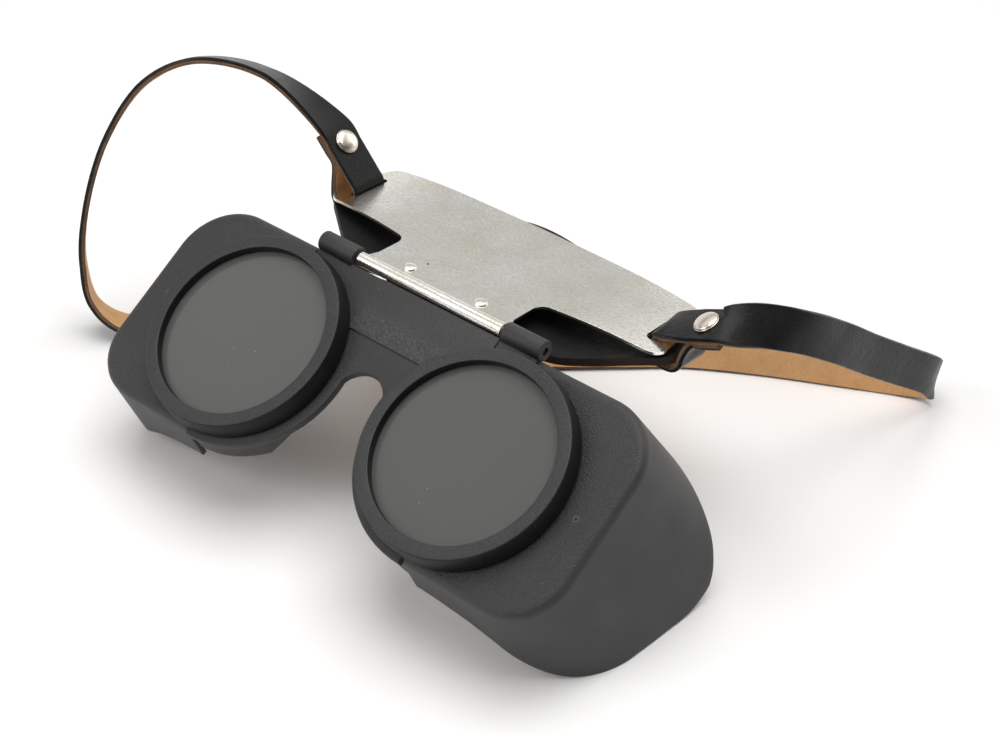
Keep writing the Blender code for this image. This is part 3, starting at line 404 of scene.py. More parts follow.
def frame_outline():
    """Outline of the bridge and flanges, from the arch round to the top edge and back."""
    centre = (LENS_X - FLANGE_SHIFT, 0.0)
    gap = hypot(centre[0], centre[1] - ARCH_Y)
    along = (gap * gap + ARCH_R * ARCH_R - FLANGE_R * FLANGE_R) / (2 * gap)
    across = sqrt(ARCH_R * ARCH_R - along * along)
    meet = (along * centre[0] / gap, ARCH_Y + along * (centre[1] - ARCH_Y) / gap + across)
    reach = KNUCKLE_OUT_X - WEB_INSET / 2 - centre[0]
    arch = arc((0.0, ARCH_Y), ARCH_R, 90, degrees(atan2(meet[1] - ARCH_Y, meet[0])))
    flange = arc(centre, FLANGE_R, degrees(atan2(meet[1], meet[0] - centre[0])) % 360,
                 360 - degrees(atan2(sqrt(FLANGE_R ** 2 - reach ** 2), reach)))
    half = arch[1:] + flange[1:] + [(centre[0] + reach, BRIDGE_TOP_Y)]
    dip = [(-WEDGE_X, BRIDGE_TOP_Y), (-KNUCKLE_IN_X, BRIDGE_TOP_Y - WEDGE_DROP)]
    return [(0.0, ARCH_Y + ARCH_R)] + half + dip + mirrored(half)


def nose_flank(side):
    """The slope cut off the rear of a cell to clear the nose."""
    front_z = FACE_Z - BRIDGE_T
    lean = atan2(FLANK_FRONT - FLANK_REAR, front_z - CELL_END_Z)
    size = OVERRUN * 4
    return moved(block((0.0, -size, -size), (size, size, 0.0)),
                 Matrix.Translation((side * LENS_X, 0.0, front_z))
                 @ Matrix.Rotation(pi if side > 0 else 0.0, 4, "Z")
                 @ Matrix.Rotation(FLANK_TURN * side, 4, "Z")
                 @ Matrix.Translation((FLANK_FRONT, 0.0, 0.0)) @ Matrix.Rotation(lean, 4, "Y"))


def shield_relief(side, sign):
    """What a cell loses where the shield's flared wall passes above it (sign 1) or below it (-1)."""
    wall_y, flare, rounding = ((SHIELD_TOP_Y, SHIELD_FLARE_TOP, SHIELD_FILLET) if sign > 0 else
                               (SHIELD_BOTTOM_Y, SHIELD_FLARE_BOTTOM, SHIELD_FILLET_LOW))
    size = OVERRUN * 4
    xs = sorted((-side * CLEARANCE, side * size))
    ys = sorted((0.0, sign * size))
    inner_y = wall_y - sign * (SHIELD_WALL + CLEARANCE)
    return moved(block((xs[0], ys[0], -size), (xs[1], ys[1], size)),
                 Matrix.Translation((side * LENS_X, inner_y, FACE_Z - rounding))
                 @ Matrix.Rotation(sign * flare, 4, "X"))


def spot(tree, place, centre, radius):
    """A small round mark at a place in the world, as a mask."""
    away = add(tree, "ShaderNodeVectorMath", {"operation": "DISTANCE", 0: place, 1: centre})
    return add(tree, "ShaderNodeMapRange", {0: away, 1: radius * 0.7, 2: radius * 1.1, 3: 1.0, 4: 0.0})


def dust(tree, place, apart_mm, core, rim, strength):
    """Sparse specks of dust, as a mask; their size is a share of the distance between them."""
    cells = add(tree, "ShaderNodeTexVoronoi", {"Scale": MM / apart_mm, "Vector": place})
    return add(tree, "ShaderNodeMapRange", {0: cells, 1: core, 2: rim, 3: strength, 4: 0.0})


def drift(tree, place, patch_mm, detail, low, high):
    """A value that drifts between two levels, in patches of a size."""
    cloud = add(tree, "ShaderNodeTexNoise", {"Scale": MM / patch_mm, "Detail": detail, "Vector": place})
    return add(tree, "ShaderNodeMapRange", {0: cloud, 1: 0.3, 2: 0.7, 3: low, 4: high})


def moulded_nylon(name, tones, grain_mm, grain_depth, marks=(), band=False, gloss=0.4):
    """Black nylon moulding: the spark-eroded tool's even grain scatters the light, so it looks dark grey.

    The attribute open_face is 1 on faces square to the lens axis, where the tool's grain is deep,
    and 0 on drawn walls, where it is nearly smooth. The real grain is under 0.1 mm, too fine to
    show, so it is drawn coarser, at the width given.
    """
    made, tree, place = new_material(name)
    facing = add(tree, "ShaderNodeAttribute", {"attribute_name": "open_face"}).outputs["Fac"]
    open_face = add(tree, "ShaderNodeMapRange", {0: facing, 1: 0.80, 2: 0.985, 3: 0.12, 4: 1.0})
    grain = add(tree, "ShaderNodeTexVoronoi", {"feature": "SMOOTH_F1", "Scale": MM / grain_mm,
                                               "Smoothness": 0.35, "Vector": place})
    mottle = add(tree, "ShaderNodeTexNoise", {"Scale": MM / 9.0, "Detail": 5.0, "Roughness": 0.6,
                                              "Vector": place})
    tone = add(tree, "ShaderNodeValToRGB", {"stops": ((0.30, tones[0]), (0.72, tones[1])), "Fac": mottle})
    # Painted shade: the grain's pits take the third, darker tone, as shade in the hollows.
    pit_shade = add(tree, "ShaderNodeMapRange", {0: grain, 1: 0.15, 2: 0.75, 3: 0.0, 4: 0.85})
    depth = add(tree, "ShaderNodeMath", {"operation": "MULTIPLY", 0: pit_shade, 1: open_face})
    grain_and_pit_shade = add(tree, "ShaderNodeMix", {"data_type": "RGBA", 0: depth, 6: tone, 7: linear(tones[2])})
    colour = add(tree, "ShaderNodeMix", {"data_type": "RGBA", 0: dust(tree, place, 5.5, 0.018, 0.032, 0.55),
                                         6: grain_and_pit_shade, 7: linear("#8d8a84")})
    rough = drift(tree, place, 34.0, 3.0, 0.46, 0.60)
    if band:
        # A patch sparked coarser across the bridge, fading upwards.
        on_frame = add(tree, "ShaderNodeSeparateXYZ", {0: add(tree, "ShaderNodeMapping", {
            "vector_type": "TEXTURE", "Vector": place, "Location": GOGGLES.translation,
            "Rotation": GOGGLES.to_euler()})})
        rise = on_frame.outputs["Y"]
        above = add(tree, "ShaderNodeMapRange", {0: rise, 1: BAND_Y, 2: BAND_Y + BAND_T, 3: 0.0, 4: 1.0})
        below = add(tree, "ShaderNodeMapRange", {0: rise, 1: BAND_TOP_Y - BAND_FADE, 2: BAND_TOP_Y,
                                                 3: 1.0, 4: 0.0})
        within = add(tree, "ShaderNodeMath", {"operation": "COMPARE", 0: on_frame, 1: 0.0, 2: BAND_REACH_X})
        flecks = add(tree, "ShaderNodeTexNoise", {"Scale": MM / 0.7, "Detail": 3.0, "Roughness": 0.8,
                                                  "Vector": place})
        share = add(tree, "ShaderNodeMapRange", {0: flecks, 1: 0.46, 2: 0.62, 3: 0.0, 4: 0.85})
        for part in (above, below, within):
            share = add(tree, "ShaderNodeMath", {"operation": "MULTIPLY", 0: share, 1: part})
        colour = add(tree, "ShaderNodeMix", {"data_type": "RGBA", 0: share, 6: colour, 7: linear("#4c4847")})
    # Small round marks laid over the colour; on the shields these are painted shade and painted highlight.
    for centre, radius, mark in marks:
        colour = add(tree, "ShaderNodeMix", {"data_type": "RGBA", 0: spot(tree, place, centre, radius),
                                             6: colour, 7: linear(mark)})
    strength = add(tree, "ShaderNodeMath", {"operation": "MULTIPLY", 0: open_face, 1: 0.9})
    bump = add(tree, "ShaderNodeBump", {"Distance": grain_depth, "Height": grain, "Strength": strength})
    shader = add(tree, "ShaderNodeBsdfPrincipled", {"IOR": 1.53, "Specular IOR Level": gloss,
                                                    "Base Color": colour, "Roughness": rough, "Normal": bump})
    add(tree, "ShaderNodeOutputMaterial", {"Surface": shader})
    return made


# The third tone of each set is painted shade in the grain's pits.
nylon_tones = ("#303030", "#373736", "#242424")
bridge_nylon = moulded_nylon("spark_eroded_nylon_bridge", nylon_tones, 0.34, 0.00009, band=True)
bridge = slab(frame_outline(), FACE_Z - BRIDGE_T, FACE_Z, EDGE_R)
flare = (CELL_RIM_Z - CELL_END_Z) * tan(CELL_FLARE)
cell_profile = [(0.0, CELL_RIM_Z), (CELL_R, CELL_RIM_Z), (CELL_R + flare, CELL_END_Z + EDGE_R * 2),
                (CELL_R + flare - EDGE_R * 0.6, CELL_END_Z + EDGE_R * 0.6),
                (CELL_R + flare - EDGE_R * 2, CELL_END_Z), (0.0, CELL_END_Z)]
bore_profile = [(0.0, OVERRUN), (CELL_BORE_R, OVERRUN), (CELL_BORE_R, SEAT_Z), (APERTURE_R, SEAT_Z),
                (APERTURE_R, CELL_END_Z + EDGE_R * 2), (APERTURE_R + EDGE_R * 2, CELL_END_Z),
                (APERTURE_R + EDGE_R * 2 + OVERRUN / 4, CELL_END_Z - OVERRUN / 4),
                (0.0, CELL_END_Z - OVERRUN)]
rear_z = FACE_Z - BRIDGE_T
steps = [("UNION", block((-KNUCKLE_IN_X, BAND_Y, FACE_Z - BRIDGE_T / 2),
                         (KNUCKLE_IN_X, BRIDGE_TOP_Y - BAND_T, FACE_Z + BAND_T), EDGE_R * 0.6)),
         ("UNION", block((-LIP_FROM_X, BRIDGE_TOP_Y - KNUCKLE_WEB / 2, rear_z - LIP_T),
                         (KNUCKLE_IN_X - CLEARANCE, BRIDGE_TOP_Y + LIP_H, rear_z + WEB_INSET / 2),
                         EDGE_R * 0.5))]
for side in (-1, 1):
    ends = sorted((side * KNUCKLE_IN_X, side * KNUCKLE_OUT_X))
    steps.append(("UNION", block((ends[0] + WEB_INSET, BRIDGE_TOP_Y - KNUCKLE_WEB, rear_z + WEB_INSET),
                                 (ends[1] - WEB_INSET, PIN_Y, FACE_Z - WEB_INSET), EDGE_R * 0.5)))
    steps.append(("UNION", rod(KNUCKLE_R, ends[0], ends[1], PIN_Y, PIN_Z)))
    steps.append(("UNION", moved(turned(cell_profile), Matrix.Translation((side * LENS_X, 0.0, 0.0)))))
for side in (-1, 1):
    steps.append(("DIFFERENCE", moved(turned(bore_profile), Matrix.Translation((side * LENS_X, 0.0, 0.0)))))
    steps.append(("DIFFERENCE", nose_flank(side)))
    steps += [("DIFFERENCE", shield_relief(side, sign)) for sign in (1, -1)]
steps.append(("DIFFERENCE", rod(BORE_R, -LENS_X * 2, LENS_X * 2, PIN_Y, PIN_Z, BORE_FACETS)))
dressed("front_frame_moulding", carve(bridge, *steps), GOGGLES, "goggles", ["front_frame"],
        [bridge_nylon])

# Side shields
# Two C-shaped black nylon mouldings, each clamped between a lens ring and its cell.
# The flat face rounds over into a wall that flares back round the temple.
SHIELD_X = 0.07714
SHIELD_CORNER_TOP = 0.0168
SHIELD_CORNER_BOTTOM = 0.0150
SHIELD_FLARE_OUT = radians(8.5)
SHIELD_NOSE_DEPTH = 0.0122
SHIELD_TEMPLE_DEPTH = 0.0500
SHIELD_NOTCH_R = 0.0266
EDGE_POINTS = 14
FACE_ROWS = 4
FILLET_ROWS = 8
WALL_ROWS = 12
# How far down its wall the rear edge lies, along the outline from below the lens round the temple.
REAR_DEPTH_SHARES = ((0.0, 0.0), (0.10, 0.05), (0.20, 0.20), (0.29, 0.48), (0.39, 0.72), (0.46, 0.86),
                     (0.53, 0.98), (0.58, 1.0), (0.64, 0.84), (0.71, 0.55), (0.79, 0.26), (0.88, 0.08),
                     (1.0, 0.0))


def smooth_share(table, share):
    """Smooth value between the rows of a table, level where the rows turn."""
    slopes = [0.0]
    for (a, low), (b, middle), (c, high) in zip(table, table[1:], table[2:]):
        before, after = (middle - low) / (b - a), (high - middle) / (c - b)
        slopes.append(0.0 if before * after <= 0 else 2 * before * after / (before + after))
    slopes.append(0.0)
    for i, ((a, low), (b, high)) in enumerate(zip(table, table[1:])):
        if share <= b:
            width, t = b - a, (share - a) / (b - a)
            return (low * (1 + 2 * t) * (1 - t) ** 2 + slopes[i] * width * t * (1 - t) ** 2
                    + high * t * t * (3 - 2 * t) + slopes[i + 1] * width * t * t * (t - 1))
    return table[-1][1]


def shield_outline():
    """Points of the front outline with their outward directions."""
    low = (SHIELD_X - SHIELD_CORNER_BOTTOM, SHIELD_BOTTOM_Y + SHIELD_CORNER_BOTTOM)
    high = (SHIELD_X - SHIELD_CORNER_TOP, SHIELD_TOP_Y - SHIELD_CORNER_TOP)
    rows = []

    def run(start, end, direction, count):
        rows.extend(((start[0] + (end[0] - start[0]) * i / count, start[1] + (end[1] - start[1]) * i / count),
                     direction) for i in range(count))

    def turn(centre, radius, start, end):
        rows.extend(((x, y), ((x - centre[0]) / radius, (y - centre[1]) / radius))
                    for x, y in arc(centre, radius, start, end)[:-1])

    run((LENS_X, SHIELD_BOTTOM_Y), (low[0], SHIELD_BOTTOM_Y), (0.0, -1.0), EDGE_POINTS)
    turn(low, SHIELD_CORNER_BOTTOM, -90, 0)
    run((SHIELD_X, low[1]), (SHIELD_X, high[1]), (1.0, 0.0), EDGE_POINTS)
    turn(high, SHIELD_CORNER_TOP, 0, 90)
    run((high[0], SHIELD_TOP_Y), (LENS_X, SHIELD_TOP_Y), (0.0, 1.0), EDGE_POINTS)
    rows.append(((LENS_X, SHIELD_TOP_Y), (0.0, 1.0)))
    return rows


def shield_mesh(side):
    """One shield: rows of points from its notch over the face and round the fillet down the wall."""
    outline = shield_outline()
    lengths = [0.0]
    for (a, _), (b, _) in zip(outline, outline[1:]):
        lengths.append(lengths[-1] + hypot(b[0] - a[0], b[1] - a[1]))
    shares = [value / lengths[-1] for value in lengths]
    notch = [(LENS_X + SHIELD_NOTCH_R * sin(pi * s), -SHIELD_NOTCH_R * cos(pi * s), FACE_Z) for s in shares]
    rows = [notch]
    radii = [SHIELD_FILLET - (SHIELD_FILLET - SHIELD_FILLET_LOW) * max(0.0, -ny) for _, (_, ny) in outline]
    face_edge = [(x - nx * r, y - ny * r, FACE_Z) for ((x, y), (nx, ny)), r in zip(outline, radii)]
    for step in range(1, FACE_ROWS):
        rows.append([tuple(Vector(a).lerp(Vector(b), step / FACE_ROWS)) for a, b in zip(notch, face_edge)])
    for step in range(FILLET_ROWS + 1):
        angle = pi / 2 * step / FILLET_ROWS
        inset, drop = 1 - sin(angle), 1 - cos(angle)
        rows.append([(x - nx * r * inset, y - ny * r * inset, FACE_Z - r * drop)
                     for ((x, y), (nx, ny)), r in zip(outline, radii)])
    for step in range(1, WALL_ROWS + 1):
        row = []
        for ((x, y), (nx, ny)), share, r in zip(outline, shares, radii):
            rear = SHIELD_NOSE_DEPTH + (SHIELD_TEMPLE_DEPTH - SHIELD_NOSE_DEPTH) * smooth_share(
                REAR_DEPTH_SHARES, share)
            depth = (rear - r) * step / WALL_ROWS
            rise = tan(SHIELD_FLARE_TOP if ny > 0 else SHIELD_FLARE_BOTTOM)
            row.append((x + nx * depth * tan(SHIELD_FLARE_OUT), y + ny * depth * rise, FACE_Z - r - depth))
        rows.append(row)
    bm = bmesh.new()
    grid = [[bm.verts.new((side * x, y, z)) for x, y, z in row] for row in rows]
    for upper, lower in zip(grid, grid[1:]):
        for i in range(len(upper) - 1):
            corners = (upper[i], lower[i], lower[i + 1], upper[i + 1])
            bm.faces.new(corners if side > 0 else corners[::-1])
    item = shown("shield", mesh_of(bm, "shield"))
    wall = item.modifiers.new("Wall", "SOLIDIFY")
    wall.thickness = SHIELD_WALL
    wall.offset = -1
    wall.use_even_offset = True
    soften(item, EDGE_R, 3, 50)
    return finished_mesh(item)


# An ejector pin has left a small round mark on the flat face of each shield. Its near-black core is painted
# shade and its pale ring is painted highlight, standing in for the mark's relief.
EJECTOR_X = 0.0694
EJECTOR_Y = 0.0003
EJECTOR_R = 0.00055
ejector_shade_and_highlight = [(GOGGLES @ Vector((side * EJECTOR_X, EJECTOR_Y, FACE_Z)), EJECTOR_R * share, tone)
                 for side in (-1, 1) for share, tone in ((1.5, "#5c5c5a"), (1.0, "#030303"))]
shield_nylon = moulded_nylon("spark_eroded_nylon_shield", nylon_tones, 0.38, 0.00017, marks=ejector_shade_and_highlight)
for side, label in SIDES:
    dressed(f"side_shield_{label}_moulding", shield_mesh(side), GOGGLES, "goggles",
            [f"side_shield_{label}"], [shield_nylon], sharp=40)

# Lens rings
# Screwed rings of the same nylon, moulded smoother: a coned collar with a flat front,
# a lip that holds the glasses and a skirt that goes down into the cell.
RING_FRONT_R = 0.02725
RING_BASE_R = 0.0280
RING_BORE_R = 0.0237
RING_BASE_Z = FACE_Z + BAND_T + CLEARANCE
RING_ROUND = 0.00055
SKIRT_R = 0.0261
SKIRT_IN_R = 0.0253
SKIRT_END_Z = SEAT_Z + 0.0007
LIP_Z = -0.0024
RING_FACETS = 180
FRONT_NORMAL = 0.8      # a face that looks forward by more than this is the collar's front


def ring_tree():
    """Sweeps the section in the object's mesh round a circle and gives it its material."""
    tree = bpy.data.node_groups.new("ring_round_the_glass", "GeometryNodeTree")
    for name, way, kind in (("Geometry", "INPUT", "Geometry"), ("Path radius", "INPUT", "Float"),
                            ("Facets", "INPUT", "Int"), ("Material", "INPUT", "Material"),
                            ("Geometry", "OUTPUT", "Geometry")):
        tree.interface.new_socket(name, in_out=way, socket_type=f"NodeSocket{kind}")
    inputs = add(tree, "NodeGroupInput")
    section = add(tree, "GeometryNodeMeshToCurve", {"Mesh": inputs.outputs["Geometry"]})
    path = add(tree, "GeometryNodeCurvePrimitiveCircle", {"Resolution": inputs.outputs["Facets"],
                                                          "Radius": inputs.outputs["Path radius"]})
    sweep = add(tree, "GeometryNodeCurveToMesh", {"Curve": path, "Profile Curve": section})
    real = add(tree, "GeometryNodeRealizeInstances", {"Geometry": sweep})
    dress = add(tree, "GeometryNodeSetMaterial", {"Geometry": real, "Material": inputs.outputs["Material"]})
    add(tree, "NodeGroupOutput", {0: dress})
    return tree


def swept_ring(tree, profile, path_radius, facets, material):
    """A ring with a section of (radius, z), swept round a circle by Geometry Nodes."""
    mesh = bpy.data.meshes.new("section")
    count = len(profile)
    mesh.from_pydata([(r - path_radius, -z, 0.0) for r, z in profile],
                     [(i, (i + 1) % count) for i in range(count)], [])
    item = shown("section", mesh)
    modifier = item.modifiers.new("Ring", "NODES")
    modifier.node_group = tree
    sockets = {s.name: s.identifier for s in tree.interface.items_tree if s.in_out == "INPUT"}
    for name, value in (("Path radius", path_radius), ("Facets", facets), ("Material", material)):
        modifier[sockets[name]] = value
    return closed(finished_mesh(item))


def rounded_corner(corner, before, after, radius, count=4):
    """Points that round one corner of a section."""
    a = (Vector(before) - Vector(corner)).normalized()
    b = (Vector(after) - Vector(corner)).normalized()
    half = a.angle(b) / 2
    centre = Vector(corner) + (a + b).normalized() * (radius / sin(half))
    first = Vector(corner) + a * (radius / tan(half)) - centre
    last = Vector(corner) + b * (radius / tan(half)) - centre
    turn = atan2(first.x * last.y - first.y * last.x, first.dot(last))
    points = [Matrix.Rotation(turn * i / count, 2) @ first + centre for i in range(count + 1)]
    return [(p.x, p.y) for p in points]


# The collar's front has the tool's grain. Its side was drawn from the mould and is smooth; its darker tones
# are painted shade, as the bore and the coned wall turn away from the light.
ring_nylon = moulded_nylon("spark_eroded_nylon_ring", ("#303030", "#373736", "#202020"), 0.36, 0.00012)
ring_side_nylon_painted_shade = moulded_nylon("drawn_nylon_ring_side_painted_shade", ("#141414", "#1a1a1a", "#0e0e0e"), 0.40, 0.00004,
                                gloss=0.2)
front_in, front_out = (RING_BORE_R, 0.0), (RING_FRONT_R, 0.0)
base_out = (RING_BASE_R, RING_BASE_Z)
ring_profile = (rounded_corner(front_in, (RING_BORE_R, LIP_Z), front_out, RING_ROUND * 0.7)
                + rounded_corner(front_out, front_in, base_out, RING_ROUND)
                + rounded_corner(base_out, front_out, (SKIRT_R, RING_BASE_Z), EDGE_R * 0.6, 2)
                + [(SKIRT_R, RING_BASE_Z), (SKIRT_R, SKIRT_END_Z), (SKIRT_IN_R, SKIRT_END_Z),
                   (SKIRT_IN_R, LIP_Z), (RING_BORE_R, LIP_Z)])
ring_sweep = ring_tree()
for side, label in SIDES:
    mesh = swept_ring(ring_sweep, ring_profile, SKIRT_R, RING_FACETS, ring_nylon)
    mesh.materials.append(ring_side_nylon_painted_shade)
    # Faces that look aside from the lens axis, the bore and the coned wall, take the darker copy: painted
    # shade.
    for face in mesh.polygons:
        face.material_index = int(face.normal.z < FRONT_NORMAL)
    dressed(f"lens_ring_{label}_moulding", mesh, GOGGLES @ Matrix.Translation((side * LENS_X, 0.0, 0.0)),
            f"ring_{label}", [f"lens_ring_{label}"], [ring_nylon, ring_side_nylon_painted_shade], sharp=25)

# Glasses, gaskets and hinge pin
# Each cell holds a dark mineral filter glass, polished flat, a clear backing glass and a
# pressed fibre gasket. The hinge turns on a drawn steel wire.

# Dark mineral glass: nearly black, a sharp reflection under a little haze, and specks of dust. Its mid-grey
# base tone, under the dust specks, is painted reflection of the pale room.
filter_glass, tree, place = new_material("polished_filter_glass")
glass_dust_and_painted_reflection = add(tree, "ShaderNodeMix", {"data_type": "RGBA", 0: dust(tree, place, 3.4, 0.022, 0.036, 1.0),
                                         6: linear("#595957"), 7: linear("#c4c2bd")})
shader = add(tree, "ShaderNodeBsdfPrincipled", {"IOR": 1.52, "Base Color": glass_dust_and_painted_reflection,
                                                "Roughness": drift(tree, place, 16.0, 4.0, 0.04, 0.10)})
add(tree, "ShaderNodeOutputMaterial", {"Surface": shader})

# Clear sheet glass: see-through, faintly green, with smears.
clear_glass, tree, place = new_material("clear_backing_glass")
shader = add(tree, "ShaderNodeBsdfPrincipled", {"Base Color": linear("#eef4f1"), "IOR": 1.52,
                                                "Transmission Weight": 0.9,
                                                "Roughness": drift(tree, place, 14.0, 3.0, 0.01, 0.06)})
add(tree, "ShaderNodeOutputMaterial", {"Surface": shader})

# Pressed fibre: brown, matted and quite matt.
fibre, tree, place = new_material("pressed_fibre")
fibres = add(tree, "ShaderNodeTexNoise", {"Scale": MM / 0.8, "Detail": 6.0, "Vector": place})
ramp = add(tree, "ShaderNodeValToRGB", {"stops": ((0.0, "#6f4f36"), (1.0, "#a98562")), "Fac": fibres})
bump = add(tree, "ShaderNodeBump", {"Strength": 0.5, "Distance": 0.0001, "Height": fibres})
shader = add(tree, "ShaderNodeBsdfPrincipled", {"Roughness": 0.9, "Base Color": ramp, "Normal": bump})
add(tree, "ShaderNodeOutputMaterial", {"Surface": shader})

# Drawn steel wire: fine bright lines along it, and painted shade at its ends, as dark as the bore of each
# knuckle seen end on.
PIN_SHADE_FROM_X = KNUCKLE_OUT_X - 0.0012
PIN_SHADE_TO_X = KNUCKLE_OUT_X - 0.0008
drawn_steel, tree, place = new_material("drawn_steel_wire")
stretch = add(tree, "ShaderNodeMapping", {"Scale": (MM / 25.0, MM / 0.25, MM / 0.25), "Vector": place})
draw_lines = add(tree, "ShaderNodeTexNoise", {"Scale": 1.0, "Detail": 3.0, "Vector": stretch})
line_rough = add(tree, "ShaderNodeMapRange", {0: draw_lines, 1: 0.3, 2: 0.7, 3: 0.22, 4: 0.42})
along_pin = add(tree, "ShaderNodeSeparateXYZ", {0: place})
from_middle = add(tree, "ShaderNodeMath", {"operation": "SUBTRACT", 0: along_pin, 1: pin_place.x})
out_along = add(tree, "ShaderNodeMath", {"operation": "ABSOLUTE", 0: from_middle})
# Painted shade: about the last millimetre at each end turns near black.
pin_end_shade = add(tree, "ShaderNodeMapRange", {0: out_along, 1: PIN_SHADE_FROM_X, 2: PIN_SHADE_TO_X, 3: 0.0, 4: 1.0})
steel_tone = add(tree, "ShaderNodeMix", {"data_type": "RGBA", 0: pin_end_shade, 6: linear("#a9a7a2"),
                                         7: linear("#1c1a19")})
shader = add(tree, "ShaderNodeBsdfPrincipled", {"Metallic": 1.0, "Base Color": steel_tone,
                                                "Roughness": line_rough})
add(tree, "ShaderNodeOutputMaterial", {"Surface": shader})

# The CAD's own meshes for these are carried over as they are.
carried_over = [("hinge_pin", drawn_steel)]
for _, label in SIDES:
    carried_over += [(f"filter_glass_{label}", filter_glass), (f"backing_glass_{label}", clear_glass),
                     (f"gasket_{label}", fibre)]
for name, material in carried_over:
    materials = frame["nodes"][name].data.materials
    materials.clear()
    materials.append(material)

# Brow plate
# Sheet steel blanked to shape, its lower edge rolled into the hinge barrel, its ends bent
# back and slotted for the strap, then zinc plated. The plating has a soft satin bloom
# with fine rolling lines and one small dark pit.
SHEET_T = 0.0008
PLATE_FRONT_Z = 0.0004
PLATE_BACK_Z = PLATE_FRONT_Z - SHEET_T
BARREL_R = BORE_R + SHEET_T
BARREL_X = 0.02406
NECK_X = 0.0229
NECK_FILLET = 0.0034
TAB_IN_Y = 0.0153
TAB_OUT_Y = 0.0200
PLATE_END_X = 0.0565
PLATE_TOP_Y = 0.0446
PLATE_CROWN = 0.0010
PLATE_CORNER_LOW = 0.0045
PLATE_CORNER_HIGH = 0.0055
BEND_FROM_X = 0.026
BEND_R = 0.200
SLOT_X = 0.05055
SLOT_WIDTH = 0.0031
SLOT_LENGTH = 0.0130
SLOT_Y = 0.0303
DIMPLE_X = 0.0120
DIMPLE_Y = 0.0052
DIMPLE_R = 0.0018
DIMPLE_H = 0.0007
DIMPLE_FACETS = 48
BARREL_GAP = 52.0       # degrees left open in the rolled barrel
BEND_STEPS = 18         # facets of each bent end
FILLET_POINTS = 15
BLANKED_EDGE_R = 0.00012
PIT = (-0.0099, 0.0097, PLATE_FRONT_Z)
PIT_R = 0.0004


def bend(x):
    """How far the plate has curved back at x."""
    return max(0.0, abs(x) - BEND_FROM_X) ** 2 / (2 * BEND_R)


def slot_outline(x, y, width, length):
    """A slot along y with round ends."""
    radius = width / 2
    straight = length / 2 - radius
    return arc((x, y + straight), radius, 0, 180) + arc((x, y - straight), radius, 180, 360)


def fillet(before, corner, after, radius):
    """A rounded corner of a blanked or cut outline."""
    return rounded_corner(corner, before, after, radius, FILLET_POINTS)


def plate_outline():
    """The blanked outline: a neck over the barrel, wide tabs and a crowned top."""
    low_corner = (PLATE_END_X, TAB_OUT_Y)
    high_corner = (PLATE_END_X - PLATE_CORNER_HIGH / 2, PLATE_TOP_Y - PLATE_CROWN)
    neck_corner = (NECK_X, TAB_IN_Y)
    half = ([(BARREL_X, -OVERRUN), (BARREL_X, BARREL_R), (NECK_X, BARREL_R + NECK_FILLET)]
            + fillet((NECK_X, 0.0), neck_corner, low_corner, NECK_FILLET)
            + fillet(neck_corner, low_corner, high_corner, PLATE_CORNER_LOW)
            + fillet(low_corner, high_corner, (0.0, PLATE_TOP_Y), PLATE_CORNER_HIGH))
    return half + [(0.0, PLATE_TOP_Y)] + mirrored(half)


def bent_sheet(section, reach, sag_at, cuts):
    """A section in y and z run along x, then bent back by a depth that varies with x."""
    mesh = slab(section, -reach, reach)
    bm = bmesh.new()
    bm.from_mesh(mesh)
    bm.transform(Matrix(((0, 0, 1, 0), (1, 0, 0, 0), (0, 1, 0, 0), (0, 0, 0, 1))))
    for x in cuts:
        bmesh.ops.bisect_plane(bm, geom=bm.verts[:] + bm.edges[:] + bm.faces[:], plane_co=(x, 0, 0),
                               plane_no=(1, 0, 0))
    for vert in bm.verts:
        vert.co.z -= sag_at(vert.co.x)
    bm.to_mesh(mesh)
    bm.free()
    return mesh


# Zinc plate over rolled sheet: silvery with a warm bloom, satin from its speckle and fine lines.
# Both are drawn several times coarser than they are, so that they show.
ROLL_SCALE = (60.0, 2600.0, 2600.0)     # lines about 17 mm long and 0.4 mm apart
zinc_plate, tree, place = new_material("zinc_plated_sheet_steel")
roll = add(tree, "ShaderNodeMapping", {"Scale": ROLL_SCALE, "Vector": place})
rolling = add(tree, "ShaderNodeTexNoise", {"Scale": 1.0, "Detail": 4.0, "Roughness": 0.7, "Vector": roll})
bloom = add(tree, "ShaderNodeTexNoise", {"Scale": MM / 13.0, "Detail": 5.0, "Roughness": 0.55,
                                         "Vector": place})
spangle = add(tree, "ShaderNodeTexNoise", {"Scale": MM / 0.8, "Detail": 4.0, "Roughness": 0.75,
                                           "Vector": place})
plate_ramp = add(tree, "ShaderNodeValToRGB", {"stops": ((0.34, "#f0ecdf"), (0.66, "#fbfaf5")), "Fac": bloom})
grain_rough = add(tree, "ShaderNodeMapRange", {0: spangle, 1: 0.30, 2: 0.70, 3: 0.14, 4: 0.26})
line_bump = add(tree, "ShaderNodeBump", {"Strength": 0.20, "Distance": 0.00002, "Height": rolling})
spangle_bump = add(tree, "ShaderNodeBump", {"Strength": 0.75, "Distance": 0.00006, "Height": spangle,
                                            "Normal": line_bump})
waves = add(tree, "ShaderNodeTexNoise", {"Scale": MM / 30.0, "Detail": 1.5, "Roughness": 0.4,
                                         "Vector": place})
wave_bump = add(tree, "ShaderNodeBump", {"Strength": 1.0, "Distance": 0.0007, "Height": waves,
                                         "Normal": spangle_bump})
pit = spot(tree, place, BROW @ Vector(PIT), PIT_R)
speckle = add(tree, "ShaderNodeMapRange", {0: spangle, 1: 0.42, 2: 0.64, 3: 0.0, 4: 0.42})
speckled = add(tree, "ShaderNodeMix", {"data_type": "RGBA", 0: speckle, 6: plate_ramp, 7: linear("#bdbaad")})
plate_tone = add(tree, "ShaderNodeMix", {"data_type": "RGBA", 0: pit, 6: speckled, 7: linear("#3c3a36")})
shader = add(tree, "ShaderNodeBsdfPrincipled", {"Metallic": 1.0, "Base Color": plate_tone,
                                                "Roughness": grain_rough, "Normal": wave_bump})
add(tree, "ShaderNodeOutputMaterial", {"Surface": shader})

